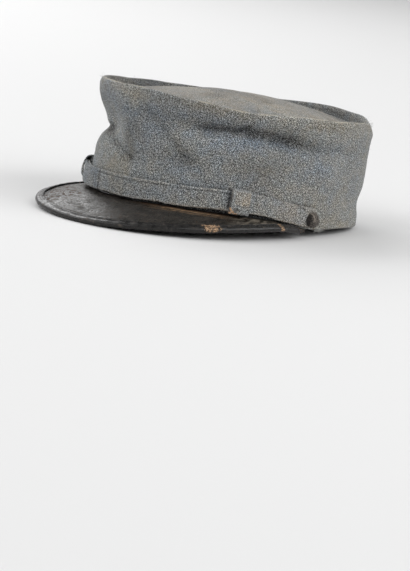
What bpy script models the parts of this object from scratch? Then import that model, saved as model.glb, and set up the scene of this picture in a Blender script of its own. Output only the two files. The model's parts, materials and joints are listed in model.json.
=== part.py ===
"""A worn cloth kepi with a leather peak, standing on its peak and the back of its hem.

Units are metres and +Z is up. The wearer faces -Y, so +X is the wearer's left. The cap is
drawn in its own frame, with the hem of the band on the plane z = 0, and an empty then leans
it back until the edge of the peak and the back of the hem both touch the ground.

Angles run round the band from the middle of the front, positive towards the wearer's left.
"""

import math

import bmesh
import bpy
from mathutils import Vector

# Crown, measured over the outside of the cloth
BAND_LENGTH = 0.200
BAND_WIDTH = 0.167
BAND_EGG = 0.030
CROWN_HEIGHT = 0.0695
CLOTH_THICKNESS = 0.0025
RIM_PADDING = 0.0025
RIM_SHOULDER = 0.0065
RIM_FLARE = 0.0045
FOLD_DEPTH = 0.0075
FOLD_FADE = 0.15  # share of CROWN_HEIGHT over which the folds grow, above the strap

# Lower edge of the band, where the peak is sewn on
SEAM_DIP = 0.0030
HEM_REST_ANGLE = math.radians(145)

# Top, a cloth oval sewn inside the rim
TOP_THICKNESS = 0.0022
TOP_DROP = 0.0070
TOP_RISE = 0.0132
TOP_FULLNESS = 1.15
SEAM_MARGIN = 0.0020

# Peak and the leather binding folded round its edge
PEAK_LENGTH = 0.0455
PEAK_THICKNESS = 0.0016
PEAK_CAMBER = 0.0010
PEAK_SPAN = math.radians(94)
PEAK_SLOPE_FRONT = math.radians(19)
PEAK_SLOPE_SIDE = math.radians(11)
PEAK_FULLNESS = 1.75
PEAK_CORNER = 0.0030
BINDING_WIDTH = 0.0038
BINDING_THICKNESS = 0.0008
BINDING_ROUNDNESS = 0.9

# Strap of two cloth layers
STRAP_WIDTH = 0.0130
STRAP_THICKNESS = 0.0013
STRAP_CLEARANCE = 0.0004
STRAP_SLACK = 0.0005
OVERLAP_EASE = math.radians(12)
TIP_BLUNTNESS = 0.08  # least half width of the rounded tip, a share of the strap's

# Places along the strap, in half keepers from the middle of a keeper
STRAP_END = 0.7
OVERLAP_START = 1.2
KEEPER_CLEARANCE = 1.3

# Two cloth loops that the strap passes through. The right one is slack and stands up
KEEPER_WIDTH = 0.0130
KEEPER_THICKNESS = 0.0010
KEEPER_ANGLE = math.radians(51)
KEEPER_EASE = math.radians(20)
LEFT_KEEPER_SLACK = 0.0004
RIGHT_KEEPER_SLACK = 0.0028

# Buttons at the ends of the strap
BUTTON_ANGLE = math.radians(84.5)
BUTTON_DROP = 0.0013  # below the middle of the strap
BUTTON_DIAMETER = 0.0104
BUTTON_EDGE = 0.0008
BUTTON_DOME = 0.0036

# Running gap between pieces that touch
GAP = 0.0003

SEGMENTS = 80
OUTER_ROWS = 14
INNER_ROWS = 8
TOP_RINGS = 6
PEAK_COLUMNS = 44
PEAK_ROWS = 5
STRAP_COLUMNS = 54
KEEPER_COLUMNS = 4
KEEPER_ARC_STEPS = 4
BUTTON_SIDES = 18

# Rim round the crown. Flare is a share of RIM_FLARE, rise a share of CROWN_HEIGHT
# angle in degrees, flare, rise
RIM = [
    (-180, 0.4, 0.055),
    (-135, 0.6, 0.015),
    (-90, 0.8, 0.015),
    (-45, 1.0, 0.022),
    (0, 0.7, 0.015),
    (25, 0.5, -0.010),
    (50, 0.4, -0.040),
    (78, 0.4, -0.010),
    (110, 0.3, 0.000),
    (135, 0.1, -0.015),
    (160, 0.3, 0.035),
    (180, 0.4, 0.055),
]

# Lower edge of the band. Dip is a share of SEAM_DIP
# angle in degrees, dip
SEAM = [
    (-180, 0.3),
    (-115, 0.3),
    (-86, 1.0),
    (-55, 0.6),
    (0, 0.6),
    (32, 0.15),
    (50, 0.0),
    (62, 0.0),
    (86, 1.0),
    (115, 0.3),
    (180, 0.3),
]

# Folds of the side, each along a line from one point to another at a larger angle. Heights and
# the reaches above and below the line are shares of CROWN_HEIGHT, depth a share of FOLD_DEPTH
# name, from angle, from height, to angle, to height, above, below, depth
FOLDS = [
    ("waist", -80, 0.60, -24, 0.62, 0.18, 0.13, 0.95),
    ("front_fold", -24, 0.62, 2, 0.34, 0.08, 0.07, 0.38),
    ("front_hollow", 2, 0.84, 26, 0.42, 0.10, 0.10, 0.30),
    ("left_crease", 22, 0.75, 66, 0.77, 0.08, 0.15, 0.58),
    ("left_crease_end", 66, 0.77, 98, 0.69, 0.09, 0.15, 0.40),
    ("left_swell", 34, 0.58, 60, 0.54, 0.10, 0.14, -0.12),
    ("back_left", 112, 0.24, 134, 0.22, 0.10, 0.12, 0.25),
    ("back", 165, 0.70, 205, 0.66, 0.10, 0.16, 0.35),
    ("right_crease", -140, 0.72, -100, 0.76, 0.08, 0.16, 0.40),
    ("right_hollow", -118, 0.42, -96, 0.30, 0.10, 0.12, 0.25),
]

# Swell of the top towards the wearer's left and towards the front, as shares of TOP_RISE
TOP_SWELL_LEFT = 0.20
TOP_SWELL_FRONT = 0.10


def smooth(share):
    """Rises from 0 to 1 with level ends."""
    share = min(1.0, max(0.0, share))
    return share * share * (3.0 - 2.0 * share)


def turn(angle):
    """The same angle between -pi and pi."""
    return math.remainder(angle, math.tau)


def band_point(angle):
    """A point of the band's outside on the plane of the hem."""
    narrow = 1.0 - BAND_EGG * math.cos(angle)
    x = BAND_WIDTH / 2 * narrow * math.sin(angle)
    y = -BAND_LENGTH / 2 * math.cos(angle)
    return Vector((x, y, 0.0))


def band_normal(angle):
    """The outward direction there."""
    step = 0.001
    along = band_point(angle + step) - band_point(angle - step)
    return Vector((along.y, -along.x, 0.0)).normalized()


def place(angle, out, height):
    """The point that lies so far outside the band and above its hem."""
    point = band_point(angle) + band_normal(angle) * out
    point.z = height
    return point


def from_table(rows, angle, column):
    """A column of a table read at any angle, with level turns at the rows."""
    degrees = math.degrees(turn(angle))
    for low, high in zip(rows, rows[1:]):
        if degrees <= high[0]:
            share = smooth((degrees - low[0]) / (high[0] - low[0]))
            return low[column] + (high[column] - low[column]) * share
    return rows[-1][column]


def rim_height(angle):
    return CROWN_HEIGHT * (1.0 + from_table(RIM, angle, 2))


def seam_height(angle):
    """Height of the band's lower edge, before its back is pressed flat."""
    return -SEAM_DIP * from_table(SEAM, angle, 1)


def strap_zone():
    """The height that the strap and its keepers stay below."""
    strap_top = BINDING_THICKNESS + STRAP_CLEARANCE + keeper_room() + STRAP_WIDTH
    return strap_top + GAP + RIGHT_KEEPER_SLACK + KEEPER_THICKNESS


def fold_depth(angle, height):
    """How far the folds push the cloth in. They fade out towards the strap."""
    radius = (BAND_LENGTH + BAND_WIDTH) / 4 / CROWN_HEIGHT
    total = 0.0
    for _, from_angle, from_height, to_angle, to_height, above, below, depth in FOLDS:
        line = Vector((math.radians(to_angle - from_angle) * radius, to_height - from_height))
        aside = turn(angle - math.radians(from_angle)) * radius
        place_on = Vector((aside, height / CROWN_HEIGHT - from_height))
        along = place_on.dot(line.normalized())
        across = line.normalized().cross(place_on)
        past = max(0.0, -along, along - line.length)
        reach = above if across > 0.0 else below
        total += depth * math.exp(-((across / reach) ** 2) - (past / (above + below)) ** 2)
    low = STRAP_WIDTH + STRAP_CLEARANCE if abs(turn(angle)) < BUTTON_ANGLE else 0.0
    return FOLD_DEPTH * total * smooth((height - low) / (FOLD_FADE * CROWN_HEIGHT))


def crown_offset(angle, height):
    """How far the outside of the cloth stands outside the band's outline."""
    rise = (height - strap_zone()) / (CROWN_HEIGHT - strap_zone())
    return RIM_FLARE * from_table(RIM, angle, 1) * smooth(rise) - fold_depth(angle, height)


def rim_thickness():
    return CLOTH_THICKNESS + RIM_PADDING


def top_seam(angle):
    """Height of the upper face of the top along its seam."""
    return rim_height(angle) - TOP_DROP


def rim_fold(angle):
    """Height down to which the rim is folded inside the crown, just below the top."""
    return top_seam(angle) - TOP_THICKNESS - SEAM_MARGIN


def rim_inside(angle):
    """How far the inner face of the rim stands outside the band's outline."""
    low, high = rim_fold(angle), rim_height(angle)
    steps = [low + (high - low) * i / 4 for i in range(5)]
    return min(crown_offset(angle, height) for height in steps) - rim_thickness()


def hem_height(angle, point, lean):
    """Height of the hem. The back of it is pressed flat on the ground."""
    around = abs(turn(angle))
    behind = band_point(math.pi).y
    if around >= HEM_REST_ANGLE:
        return (point.y - behind) * math.tan(lean)
    lowest = (band_point(HEM_REST_ANGLE).y - behind) * math.tan(lean)
    lift = smooth((around - BUTTON_ANGLE) / (HEM_REST_ANGLE - BUTTON_ANGLE))
    return seam_height(angle) + (lowest - seam_height(angle)) * lift


def crown_section(angle, lean):
    """The closed outline of the side: up the outside, over the rim and down the inside."""
    top = rim_height(angle)
    shoulder = top - RIM_SHOULDER
    half_rim = rim_thickness() / 2
    fold = rim_fold(angle)
    ledge = fold - RIM_PADDING
    inside = rim_inside(angle)
    points = []

    def add(height, inwards):
        out = crown_offset(angle, height) - inwards
        points.append(place(angle, out, height))

    for row in range(OUTER_ROWS):
        add(shoulder * row / OUTER_ROWS, 0.0)
    for share in (0.0, 0.3, 0.6, 0.85):
        bend = share * math.pi / 2
        add(shoulder + RIM_SHOULDER * math.sin(bend), half_rim * (1.0 - math.cos(bend)))
    for share in (0.0, 0.5):
        bend = share * math.pi / 2
        height = top - half_rim * (1.0 - math.cos(bend))
        add(height, half_rim * (1.0 + math.sin(bend)))
    for height in (top - half_rim, (top - half_rim + fold) / 2, fold):
        points.append(place(angle, inside, height))
    for row in range(INNER_ROWS + 1):
        add(ledge * (1.0 - row / INNER_ROWS), CLOTH_THICKNESS)
    for corner in (points[0], points[-1]):
        corner.z = hem_height(angle, corner, lean)
    return points


def peak_width(angle):
    """How far the peak reaches out, along its slope."""
    share = math.cos(math.pi / 2 * min(1.0, abs(angle) / PEAK_SPAN))
    return PEAK_LENGTH * share**PEAK_FULLNESS


def peak_end(width):
    """The angle at which the peak has narrowed to this width."""
    share = (width / PEAK_LENGTH) ** (1.0 / PEAK_FULLNESS)
    return PEAK_SPAN * math.acos(min(1.0, share)) / (math.pi / 2)


def peak_point(angle, share):
    """The upper face of the peak, from the band, at share 0, to its edge, at share 1."""
    side = min(1.0, abs(angle) / PEAK_SPAN)
    slope = PEAK_SLOPE_FRONT + (PEAK_SLOPE_SIDE - PEAK_SLOPE_FRONT) * side
    reach = peak_width(angle) * share
    height = seam_height(angle) - GAP - reach * math.sin(slope)
    height += PEAK_CAMBER * math.sin(math.pi * share) * peak_width(angle) / PEAK_LENGTH
    return place(angle, reach * math.cos(slope), height)


def peak_frame(angle):
    """At the edge of the peak: the edge point, the way outwards and the upward normal."""
    step = 0.004
    edge = peak_point(angle, 1.0)
    along = (peak_point(angle + step, 1.0) - peak_point(angle - step, 1.0)).normalized()
    across = (edge - peak_point(angle, 0.9)).normalized()
    normal = along.cross(across).normalized()
    if normal.z < 0.0:
        normal = -normal
    out = (across - along * across.dot(along)).normalized()
    return edge, out, normal


def binding_section(angle):
    """The folded strip round the edge of the peak, as a closed outline."""
    edge, out, normal = peak_frame(angle)
    middle = edge - normal * PEAK_THICKNESS / 2
    slot = PEAK_THICKNESS / 2 + GAP
    shell = slot + BINDING_THICKNESS
    bulge = (GAP + BINDING_THICKNESS + shell / 2) * BINDING_ROUNDNESS
    outline = [(-BINDING_WIDTH, slot), (-BINDING_WIDTH, shell)]
    for share in (0.0, 0.25, 0.5, 0.75, 1.0):
        bend = math.pi * share
        outline.append((bulge * math.sin(bend), shell * math.cos(bend)))
    outline += [(-BINDING_WIDTH, -shell), (-BINDING_WIDTH, -slot), (GAP, -slot), (GAP, slot)]
    return [middle + out * o + normal * n for o, n in outline]


def resting_lean():
    """How far the cap leans back once the peak and the back of the hem touch the ground."""
    heel = band_point(math.pi)
    end = peak_end(BINDING_WIDTH + 2 * GAP)
    lean = 0.0
    for column in range(PEAK_COLUMNS + 1):
        angle = end * (2.0 * column / PEAK_COLUMNS - 1.0)
        for point in binding_section(angle):
            lean = max(lean, math.atan2(-point.z, heel.y - point.y))
    return lean


def keeper_room():
    """Space that a keeper takes behind and below the strap."""
    return KEEPER_THICKNESS + GAP


def half_keeper():
    return arc_angle(KEEPER_ANGLE, KEEPER_WIDTH) / 2


def near_keeper(angle):
    """1 inside a keeper, falling to 0 beyond its ease."""
    beyond = abs(abs(angle) - KEEPER_ANGLE) - half_keeper() * KEEPER_CLEARANCE
    return 1.0 - smooth(beyond / KEEPER_EASE)


def strap_lift(angle):
    """Gap between the band and the inner layer of the strap."""
    slack = STRAP_SLACK * smooth(1.0 - abs(angle) / BUTTON_ANGLE)
    return GAP + slack + (keeper_room() - slack) * near_keeper(angle)


def strap_bottom(angle):
    """Height of the strap's lower edge, clear of the ends of the binding."""
    rise = BINDING_THICKNESS + STRAP_CLEARANCE
    return seam_height(angle) + rise + keeper_room() * near_keeper(angle)


def arc_angle(centre, length):
    """The angle that a length along the band takes up round an angle."""
    step = 0.01
    per_radian = (band_point(centre + step) - band_point(centre - step)).length / (2 * step)
    return length / per_radian


def new_object(name, mesh, colour, roughness, metallic=0.0):
    """Links a mesh as a named object with a plain material of its own."""
    material = bpy.data.materials.new(name)
    material.use_nodes = True
    shader = material.node_tree.nodes["Principled BSDF"]
    shader.inputs["Base Color"].default_value = (*colour, 1.0)
    shader.inputs["Roughness"].default_value = roughness
    shader.inputs["Metallic"].default_value = metallic
    mesh.materials.append(material)
    mesh.shade_smooth()
    mesh.set_sharp_from_angle(angle=math.radians(40))
    piece = bpy.data.objects.new(name, mesh)
    bpy.context.scene.collection.objects.link(piece)
    return piece


def loft(name, sections, closed):
    """A mesh through closed outlines, joined end to end in a ring or capped at both ends."""
    bm = bmesh.new()
    rings = [[bm.verts.new(point) for point in section] for section in sections]
    pairs = list(zip(rings, rings[1:]))
    if closed:
        pairs.append((rings[-1], rings[0]))
    else:
        bm.faces.new(rings[0])
        bm.faces.new(reversed(rings[-1]))
    count = len(rings[0])
    for near, far in pairs:
        for i in range(count):
            j = (i + 1) % count
            bm.faces.new((near[j], near[i], far[i], far[j]))
    bmesh.ops.recalc_face_normals(bm, faces=bm.faces)
    mesh = bpy.data.meshes.new(name)
    bm.to_mesh(mesh)
    bm.free()
    return mesh


def angles_between(start, end, columns):
    return [start + (end - start) * i / columns for i in range(columns + 1)]


def make_crown_side(lean):
    angles = [math.tau * i / SEGMENTS - math.pi for i in range(SEGMENTS)]
    mesh = loft("crown_side", [crown_section(angle, lean) for angle in angles], True)
    return new_object("crown_side", mesh, (0.155, 0.160, 0.160), 0.95)


def top_point(angle, share):
    """The upper face of the top: share 1 is its seam, just inside the rim, and 0 its middle."""
    seam = place(angle, rim_inside(angle) - GAP, top_seam(angle))
    level = CROWN_HEIGHT - TOP_DROP
    lean = 1.0 + (TOP_SWELL_LEFT * math.sin(angle) + TOP_SWELL_FRONT * math.cos(angle)) * share
    swell = TOP_RISE * lean * (1.0 - share**2) ** TOP_FULLNESS
    height = level + (seam.z - level) * share**2 + swell
    return Vector((seam.x * share, seam.y * share, height))


def make_crown_top():
    bm = bmesh.new()
    faces = []
    for drop in (0.0, TOP_THICKNESS):
        rings = []
        for ring in range(TOP_RINGS):
            share = math.sin(math.pi / 2 * (1.0 - ring / TOP_RINGS))
            points = [top_point(math.tau * i / SEGMENTS, share) for i in range(SEGMENTS)]
            rings.append([bm.verts.new(p - Vector((0.0, 0.0, drop))) for p in points])
        for outer, inner in zip(rings, rings[1:]):
            for i in range(SEGMENTS):
                j = (i + 1) % SEGMENTS
                bm.faces.new((outer[i], outer[j], inner[j], inner[i]))
        middle = bm.verts.new(top_point(0.0, 0.0) - Vector((0.0, 0.0, drop)))
        for i in range(SEGMENTS):
            bm.faces.new((rings[-1][i], rings[-1][(i + 1) % SEGMENTS], middle))
        faces.append(rings[0])
    upper, lower = faces
    for i in range(SEGMENTS):
        j = (i + 1) % SEGMENTS
        bm.faces.new((upper[i], upper[j], lower[j], lower[i]))
    bmesh.ops.recalc_face_normals(bm, faces=bm.faces)
    mesh = bpy.data.meshes.new("crown_top")
    bm.to_mesh(mesh)
    bm.free()
    return new_object("crown_top", mesh, (0.270, 0.250, 0.225), 0.95)


def peak_section(angle):
    """Across the peak: the flange under the band, then the slope out to the edge."""
    shares = [row / PEAK_ROWS for row in range(PEAK_ROWS + 1)]
    flange = place(angle, -CLOTH_THICKNESS, seam_height(angle) - GAP)
    slope = [peak_point(angle, share) for share in shares]
    normal = peak_frame(angle)[2]
    lower = [flange - Vector((0.0, 0.0, PEAK_THICKNESS))]
    lower += [point - normal * PEAK_THICKNESS for point in slope]
    return [flange] + slope + lower[::-1]


def make_peak():
    end = peak_end(PEAK_CORNER)
    angles = angles_between(-end, end, PEAK_COLUMNS)
    mesh = loft("peak", [peak_section(angle) for angle in angles], False)
    return new_object("peak", mesh, (0.020, 0.018, 0.016), 0.35)


def make_binding():
    end = peak_end(BINDING_WIDTH + 2 * GAP)
    angles = angles_between(-end, end, PEAK_COLUMNS)
    mesh = loft("peak_binding", [binding_section(angle) for angle in angles], False)
    return new_object("peak_binding", mesh, (0.018, 0.016, 0.015), 0.40)


def strap_section(angle, out, tip):
    """Across a strap. Its end, near the tip angle, is rounded to half its width."""
    half = STRAP_WIDTH / 2
    left = abs(tip - angle) / arc_angle(tip, 1.0)
    if left < half:
        half *= max(TIP_BLUNTNESS, math.sqrt(1.0 - (1.0 - left / half) ** 2))
    middle = strap_bottom(angle) + STRAP_WIDTH / 2
    corners = [(out, -half), (out + STRAP_THICKNESS, -half)]
    corners += [(out + STRAP_THICKNESS, half), (out, half)]
    return [place(angle, o, middle + z) for o, z in corners]


def make_strap(side):
    """One layer of the strap, from its own button to inside the other strap's keeper.

    The left strap is the inner layer over the front and the right one the outer layer.
    """
    name = "strap_left" if side > 0 else "strap_right"
    tip = side * (BUTTON_ANGLE + arc_angle(BUTTON_ANGLE, STRAP_WIDTH / 2))
    end = -side * (KEEPER_ANGLE + half_keeper() * STRAP_END)
    over_from = -KEEPER_ANGLE - half_keeper() * OVERLAP_START
    sections = []
    for angle in angles_between(tip, end, STRAP_COLUMNS):
        out = strap_lift(angle)
        if side < 0:
            over = smooth(1.0 + (angle - over_from) / OVERLAP_EASE)
            out += (STRAP_THICKNESS + GAP) * over
        sections.append(strap_section(angle, out, tip))
    mesh = loft(name, sections, False)
    return new_object(name, mesh, (0.150, 0.155, 0.155), 0.95)


def keeper_outline(angle, slack, wall):
    """Round the strap, this far outside it: a straight front and a top that arches back."""
    back = strap_lift(angle) - GAP - wall
    front = strap_lift(angle) + 2 * STRAP_THICKNESS + 2 * GAP + wall
    low = strap_bottom(angle) - GAP
    high = strap_bottom(angle) + STRAP_WIDTH + GAP
    corners = [(back, low - wall), (front, low - wall)]
    for step in range(KEEPER_ARC_STEPS + 1):
        bend = math.pi / 2 * step / KEEPER_ARC_STEPS
        out = back + (front - back) * math.cos(bend)
        corners.append((out, high + (slack + wall) * math.sin(bend)))
    return [place(angle, out, height) for out, height in corners]


def make_keeper(side):
    """A flat cloth loop round both layers of the strap."""
    name = "keeper_left" if side > 0 else "keeper_right"
    slack = LEFT_KEEPER_SLACK if side > 0 else RIGHT_KEEPER_SLACK
    centre = side * KEEPER_ANGLE
    bm = bmesh.new()
    rings = []
    for angle in angles_between(centre - half_keeper(), centre + half_keeper(), KEEPER_COLUMNS):
        outer = keeper_outline(angle, slack, KEEPER_THICKNESS)
        inner = keeper_outline(angle, slack, 0.0)
        rings.append([[bm.verts.new(point) for point in ring] for ring in (outer, inner)])
    count = len(rings[0][0])
    for near, far in zip(rings, rings[1:]):
        for i in range(count):
            j = (i + 1) % count
            for ring in (0, 1):
                bm.faces.new((near[ring][i], near[ring][j], far[ring][j], far[ring][i]))
    for outer, inner in (rings[0], rings[-1]):
        for i in range(count):
            j = (i + 1) % count
            bm.faces.new((outer[i], outer[j], inner[j], inner[i]))
    bmesh.ops.recalc_face_normals(bm, faces=bm.faces)
    mesh = bpy.data.meshes.new(name)
    bm.to_mesh(mesh)
    bm.free()
    return new_object(name, mesh, (0.215, 0.195, 0.170), 0.95)


def make_button(side):
    """A domed button, turned about the direction out of the band."""
    name = "button_left" if side > 0 else "button_right"
    radius = BUTTON_DIAMETER / 2
    profile = [(0.0, 0.0), (radius, 0.0), (radius, BUTTON_EDGE)]
    for share in (0.35, 0.65, 0.88):
        bend = share * math.pi / 2
        height = BUTTON_EDGE + BUTTON_DOME * math.sin(bend)
        profile.append((radius * math.cos(bend), height))
    profile.append((0.0, BUTTON_EDGE + BUTTON_DOME))
    bm = bmesh.new()
    verts = [bm.verts.new((r, 0.0, z)) for r, z in profile]
    edges = [bm.edges.new(pair) for pair in zip(verts, verts[1:])]
    bmesh.ops.spin(
        bm,
        geom=verts + edges,
        cent=(0.0, 0.0, 0.0),
        axis=(0.0, 0.0, 1.0),
        angle=math.tau,
        steps=BUTTON_SIDES,
    )
    bmesh.ops.remove_doubles(bm, verts=bm.verts, dist=1e-6)
    bmesh.ops.recalc_face_normals(bm, faces=bm.faces)
    mesh = bpy.data.meshes.new(name)
    bm.to_mesh(mesh)
    bm.free()
    button = new_object(name, mesh, (0.075, 0.068, 0.060), 0.55, 0.4)
    angle = side * BUTTON_ANGLE
    seat = strap_lift(angle) + STRAP_THICKNESS + GAP
    button.location = place(angle, seat, strap_bottom(angle) + STRAP_WIDTH / 2 - BUTTON_DROP)
    button.rotation_mode = "QUATERNION"
    button.rotation_quaternion = band_normal(angle).to_track_quat("Z", "Y")
    return button


def stand_up(pieces, lean):
    """Leans the cap back on the ground, with the origin under the middle of its box."""
    stand = bpy.data.objects.new("stand", None)
    bpy.context.scene.collection.objects.link(stand)
    for piece in pieces:
        piece.parent = stand
    stand.rotation_euler = (-lean, 0.0, 0.0)
    bpy.context.view_layer.update()
    corners = [p.matrix_world @ v.co for p in pieces for v in p.data.vertices]
    low = Vector([min(c[i] for c in corners) for i in range(3)])
    high = Vector([max(c[i] for c in corners) for i in range(3)])
    stand.location = (-(low.x + high.x) / 2, -(low.y + high.y) / 2, -low.z)


def main():
    for old in list(bpy.data.objects):
        bpy.data.objects.remove(old)
    lean = resting_lean()
    pieces = [make_crown_side(lean), make_crown_top(), make_peak(), make_binding()]
    for side in (1, -1):
        pieces += [make_strap(side), make_keeper(side), make_button(side)]
    stand_up(pieces, lean)


main()
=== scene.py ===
"""The looks of a worn cloth kepi: its cloth and leather forms, their finishes and the studio.

Units are metres. The forms are drawn in the cap's own frame, as its solids are, with the hem of
the band on the plane z = 0, and then stood up. Angles run round the band from the middle of the
front, positive towards the wearer's left.
"""

import json
import math

import bmesh
import bpy
import numpy as np
from mathutils import Matrix, Vector

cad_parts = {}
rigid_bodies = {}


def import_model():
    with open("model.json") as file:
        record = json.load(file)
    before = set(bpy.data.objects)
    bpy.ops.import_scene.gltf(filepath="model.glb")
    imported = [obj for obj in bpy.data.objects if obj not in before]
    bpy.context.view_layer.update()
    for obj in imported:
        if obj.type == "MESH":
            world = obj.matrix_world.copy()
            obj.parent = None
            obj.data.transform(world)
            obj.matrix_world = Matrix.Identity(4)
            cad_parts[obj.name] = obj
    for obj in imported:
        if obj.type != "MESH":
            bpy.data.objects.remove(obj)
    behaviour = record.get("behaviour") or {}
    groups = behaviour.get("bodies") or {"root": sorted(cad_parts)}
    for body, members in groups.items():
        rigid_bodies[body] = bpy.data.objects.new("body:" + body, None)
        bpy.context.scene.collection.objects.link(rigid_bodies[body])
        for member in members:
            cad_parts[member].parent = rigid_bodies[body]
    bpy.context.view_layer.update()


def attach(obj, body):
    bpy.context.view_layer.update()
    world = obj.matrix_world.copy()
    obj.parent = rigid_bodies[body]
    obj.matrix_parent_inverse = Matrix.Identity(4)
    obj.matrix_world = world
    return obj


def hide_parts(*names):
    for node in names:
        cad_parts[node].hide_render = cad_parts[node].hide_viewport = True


for old in list(bpy.data.objects):
    bpy.data.objects.remove(old)

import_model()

# Sizes that the solids have too
BAND_LENGTH = 0.200
BAND_WIDTH = 0.167
BAND_EGG = 0.030
CROWN_HEIGHT = 0.0695
CLOTH_THICKNESS = 0.0025
RIM_PADDING = 0.0025
RIM_SHOULDER = 0.0065
RIM_FLARE = 0.0045
FOLD_DEPTH = 0.0075
FOLD_FADE = 0.15
SEAM_DIP = 0.0030
HEM_REST_ANGLE = math.radians(145)
TOP_THICKNESS = 0.0022
TOP_DROP = 0.0070
TOP_RISE = 0.0132
TOP_FULLNESS = 1.15
TOP_SWELL_LEFT = 0.20
TOP_SWELL_FRONT = 0.10
SEAM_MARGIN = 0.0020
PEAK_LENGTH = 0.0455
PEAK_THICKNESS = 0.0016
PEAK_CAMBER = 0.0010
PEAK_SPAN = math.radians(94)
PEAK_SLOPE_FRONT = math.radians(19)
PEAK_SLOPE_SIDE = math.radians(11)
PEAK_FULLNESS = 1.75
PEAK_CORNER = 0.0030
BINDING_WIDTH = 0.0038
BINDING_THICKNESS = 0.0008
STRAP_WIDTH = 0.0130
STRAP_THICKNESS = 0.0013
STRAP_CLEARANCE = 0.0004
STRAP_SLACK = 0.0005
OVERLAP_EASE = math.radians(12)
STRAP_END = 0.7
OVERLAP_START = 1.2
KEEPER_CLEARANCE = 1.3
KEEPER_WIDTH = 0.0130
KEEPER_THICKNESS = 0.0010
KEEPER_ANGLE = math.radians(51)
KEEPER_EASE = math.radians(20)
LOOP_SQUARENESS = 2.5
LEFT_KEEPER_SLACK = 0.0004
RIGHT_KEEPER_SLACK = 0.0028
BUTTON_ANGLE = math.radians(84.5)
BUTTON_DROP = 0.0013
BUTTON_DIAMETER = 0.0104
BUTTON_EDGE = 0.0008
BUTTON_DOME = 0.0036
GAP = 0.0003

# Sizes that follow from them
BAND_RADIUS = (BAND_LENGTH + BAND_WIDTH) / 4
RIM_THICKNESS = CLOTH_THICKNESS + RIM_PADDING
KEEPER_ROOM = KEEPER_THICKNESS + GAP
STRAP_TOP = BINDING_THICKNESS + STRAP_CLEARANCE + KEEPER_ROOM + STRAP_WIDTH
STRAP_ZONE = STRAP_TOP + GAP + RIGHT_KEEPER_SLACK + KEEPER_THICKNESS

# How the cap stands on its peak and the back of its hem
STAND_LEAN = math.radians(4.5851)
STAND_PLACE = (0.0, 0.01931, BAND_LENGTH / 2 * math.sin(STAND_LEAN))

# Resolution of the fine forms
CROWN_COLUMNS = 560
CROWN_ROWS = 76
HEM_ROWS = 9
SHOULDER_ROWS = 12
CREST_ROWS = 8
RIM_FACE_ROWS = 8
INNER_ROWS = 26
TOP_RINGS = 70
PEAK_COLUMNS = 420
PEAK_ROWS = 44
PEAK_EDGE_ROWS = 48
PEAK_UNDER_ROWS = 24
STRAP_COLUMNS = 420
STRAP_FACE_ROWS = 52
KEEPER_COLUMNS = 30
BUTTON_SIDES = 72

# Fine lines pressed into the peak beside the binding, by their distance from its edge
PEAK_LINES = (0.0050, 0.0062)
PEAK_LINE_DEPTH = 0.00022
PEAK_LINE_REACH = 0.00026
PEAK_EDGE_ZONE = 0.0085

# Lengths of leather for the coordinates: the peak's as a share of the band's, and the binding's
# for each radian round the band
PEAK_STRETCH = 1.2
BINDING_RUN = 0.14

# The bead and the groove along the binding, and how round its edge is
BEAD_HEIGHT = 0.00026
BEAD_GROOVE = 0.00034
BINDING_ROUNDNESS = 0.9

# The seam along the strap's upper edge, and where its cover ends on the wearer's right
STITCH_ROW = 0.0019
STITCH_LENGTH = 0.0024
SEAM_GROOVE = 0.00042
STRAP_EDGE = 0.0005
STEP_ANGLE = math.radians(-17)
STEP_HEIGHT = 0.00030
STEP_GROOVE = 0.00045
PULL_DEPTH = 0.00035

# Loose fibres of the wool
FIBRE_COUNT = 1000
FIBRE_RADIUS = 0.00005
FIBRE_ROOT = 0.0004

# The camera, in the cap's frame: where it looks from, how it is turned and where it points
VIEW_AZIMUTH = math.radians(39.0)
VIEW_ELEVATION = math.radians(3.4)
VIEW_ROLL = math.radians(9.9)
VIEW_DISTANCE = 2.0
VIEW_PAN = math.radians(0.5)
VIEW_TILT = math.radians(2.58)
VIEW_TARGET = (0.0, 0.0, 0.035)
IMAGE_HEIGHT = 571
FOCAL_PIXELS = 2981.3
SENSOR_MM = 24.0

# Soft lights round the cap, in its own frame's directions
# name, azimuth and elevation in degrees, watts
LIGHTS = [
    ("right_rear_light", -116, 34, 22.0),
    ("right_light", -60, 35, 18.2),
    ("front_light", -10, 35, 12.8),
    ("left_light", 85, 35, 15.6),
    ("left_rear_light", 125, 30, 21.2),
]
LIGHT_DISTANCE = 2.4
LIGHT_SIZE = 1.6
AIR_STRENGTH = 0.35

# The floor runs level past the cap, bends up and ends as a backdrop
FLOOR_START = -6.0
FLOOR_REACH = 2.6
FLOOR_BEND = 1.5
FLOOR_TOP = 4.0
FLOOR_HALF_WIDTH = 6.0
FLOOR_STEPS = 24

# Rim round the crown. Flare is a share of RIM_FLARE, rise a share of CROWN_HEIGHT
# angle in degrees, flare, rise
RIM = [
    (-180, 0.4, 0.055),
    (-135, 0.6, 0.015),
    (-90, 0.8, 0.015),
    (-45, 1.0, 0.022),
    (0, 0.7, 0.015),
    (25, 0.5, -0.010),
    (50, 0.4, -0.040),
    (78, 0.4, -0.010),
    (110, 0.3, 0.000),
    (135, 0.1, -0.015),
    (160, 0.3, 0.035),
    (180, 0.4, 0.055),
]

# Lower edge of the band. Dip is a share of SEAM_DIP
# angle in degrees, dip
SEAM = [
    (-180, 0.3),
    (-115, 0.3),
    (-86, 1.0),
    (-55, 0.6),
    (0, 0.6),
    (32, 0.15),
    (50, 0.0),
    (62, 0.0),
    (86, 1.0),
    (115, 0.3),
    (180, 0.3),
]

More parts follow.
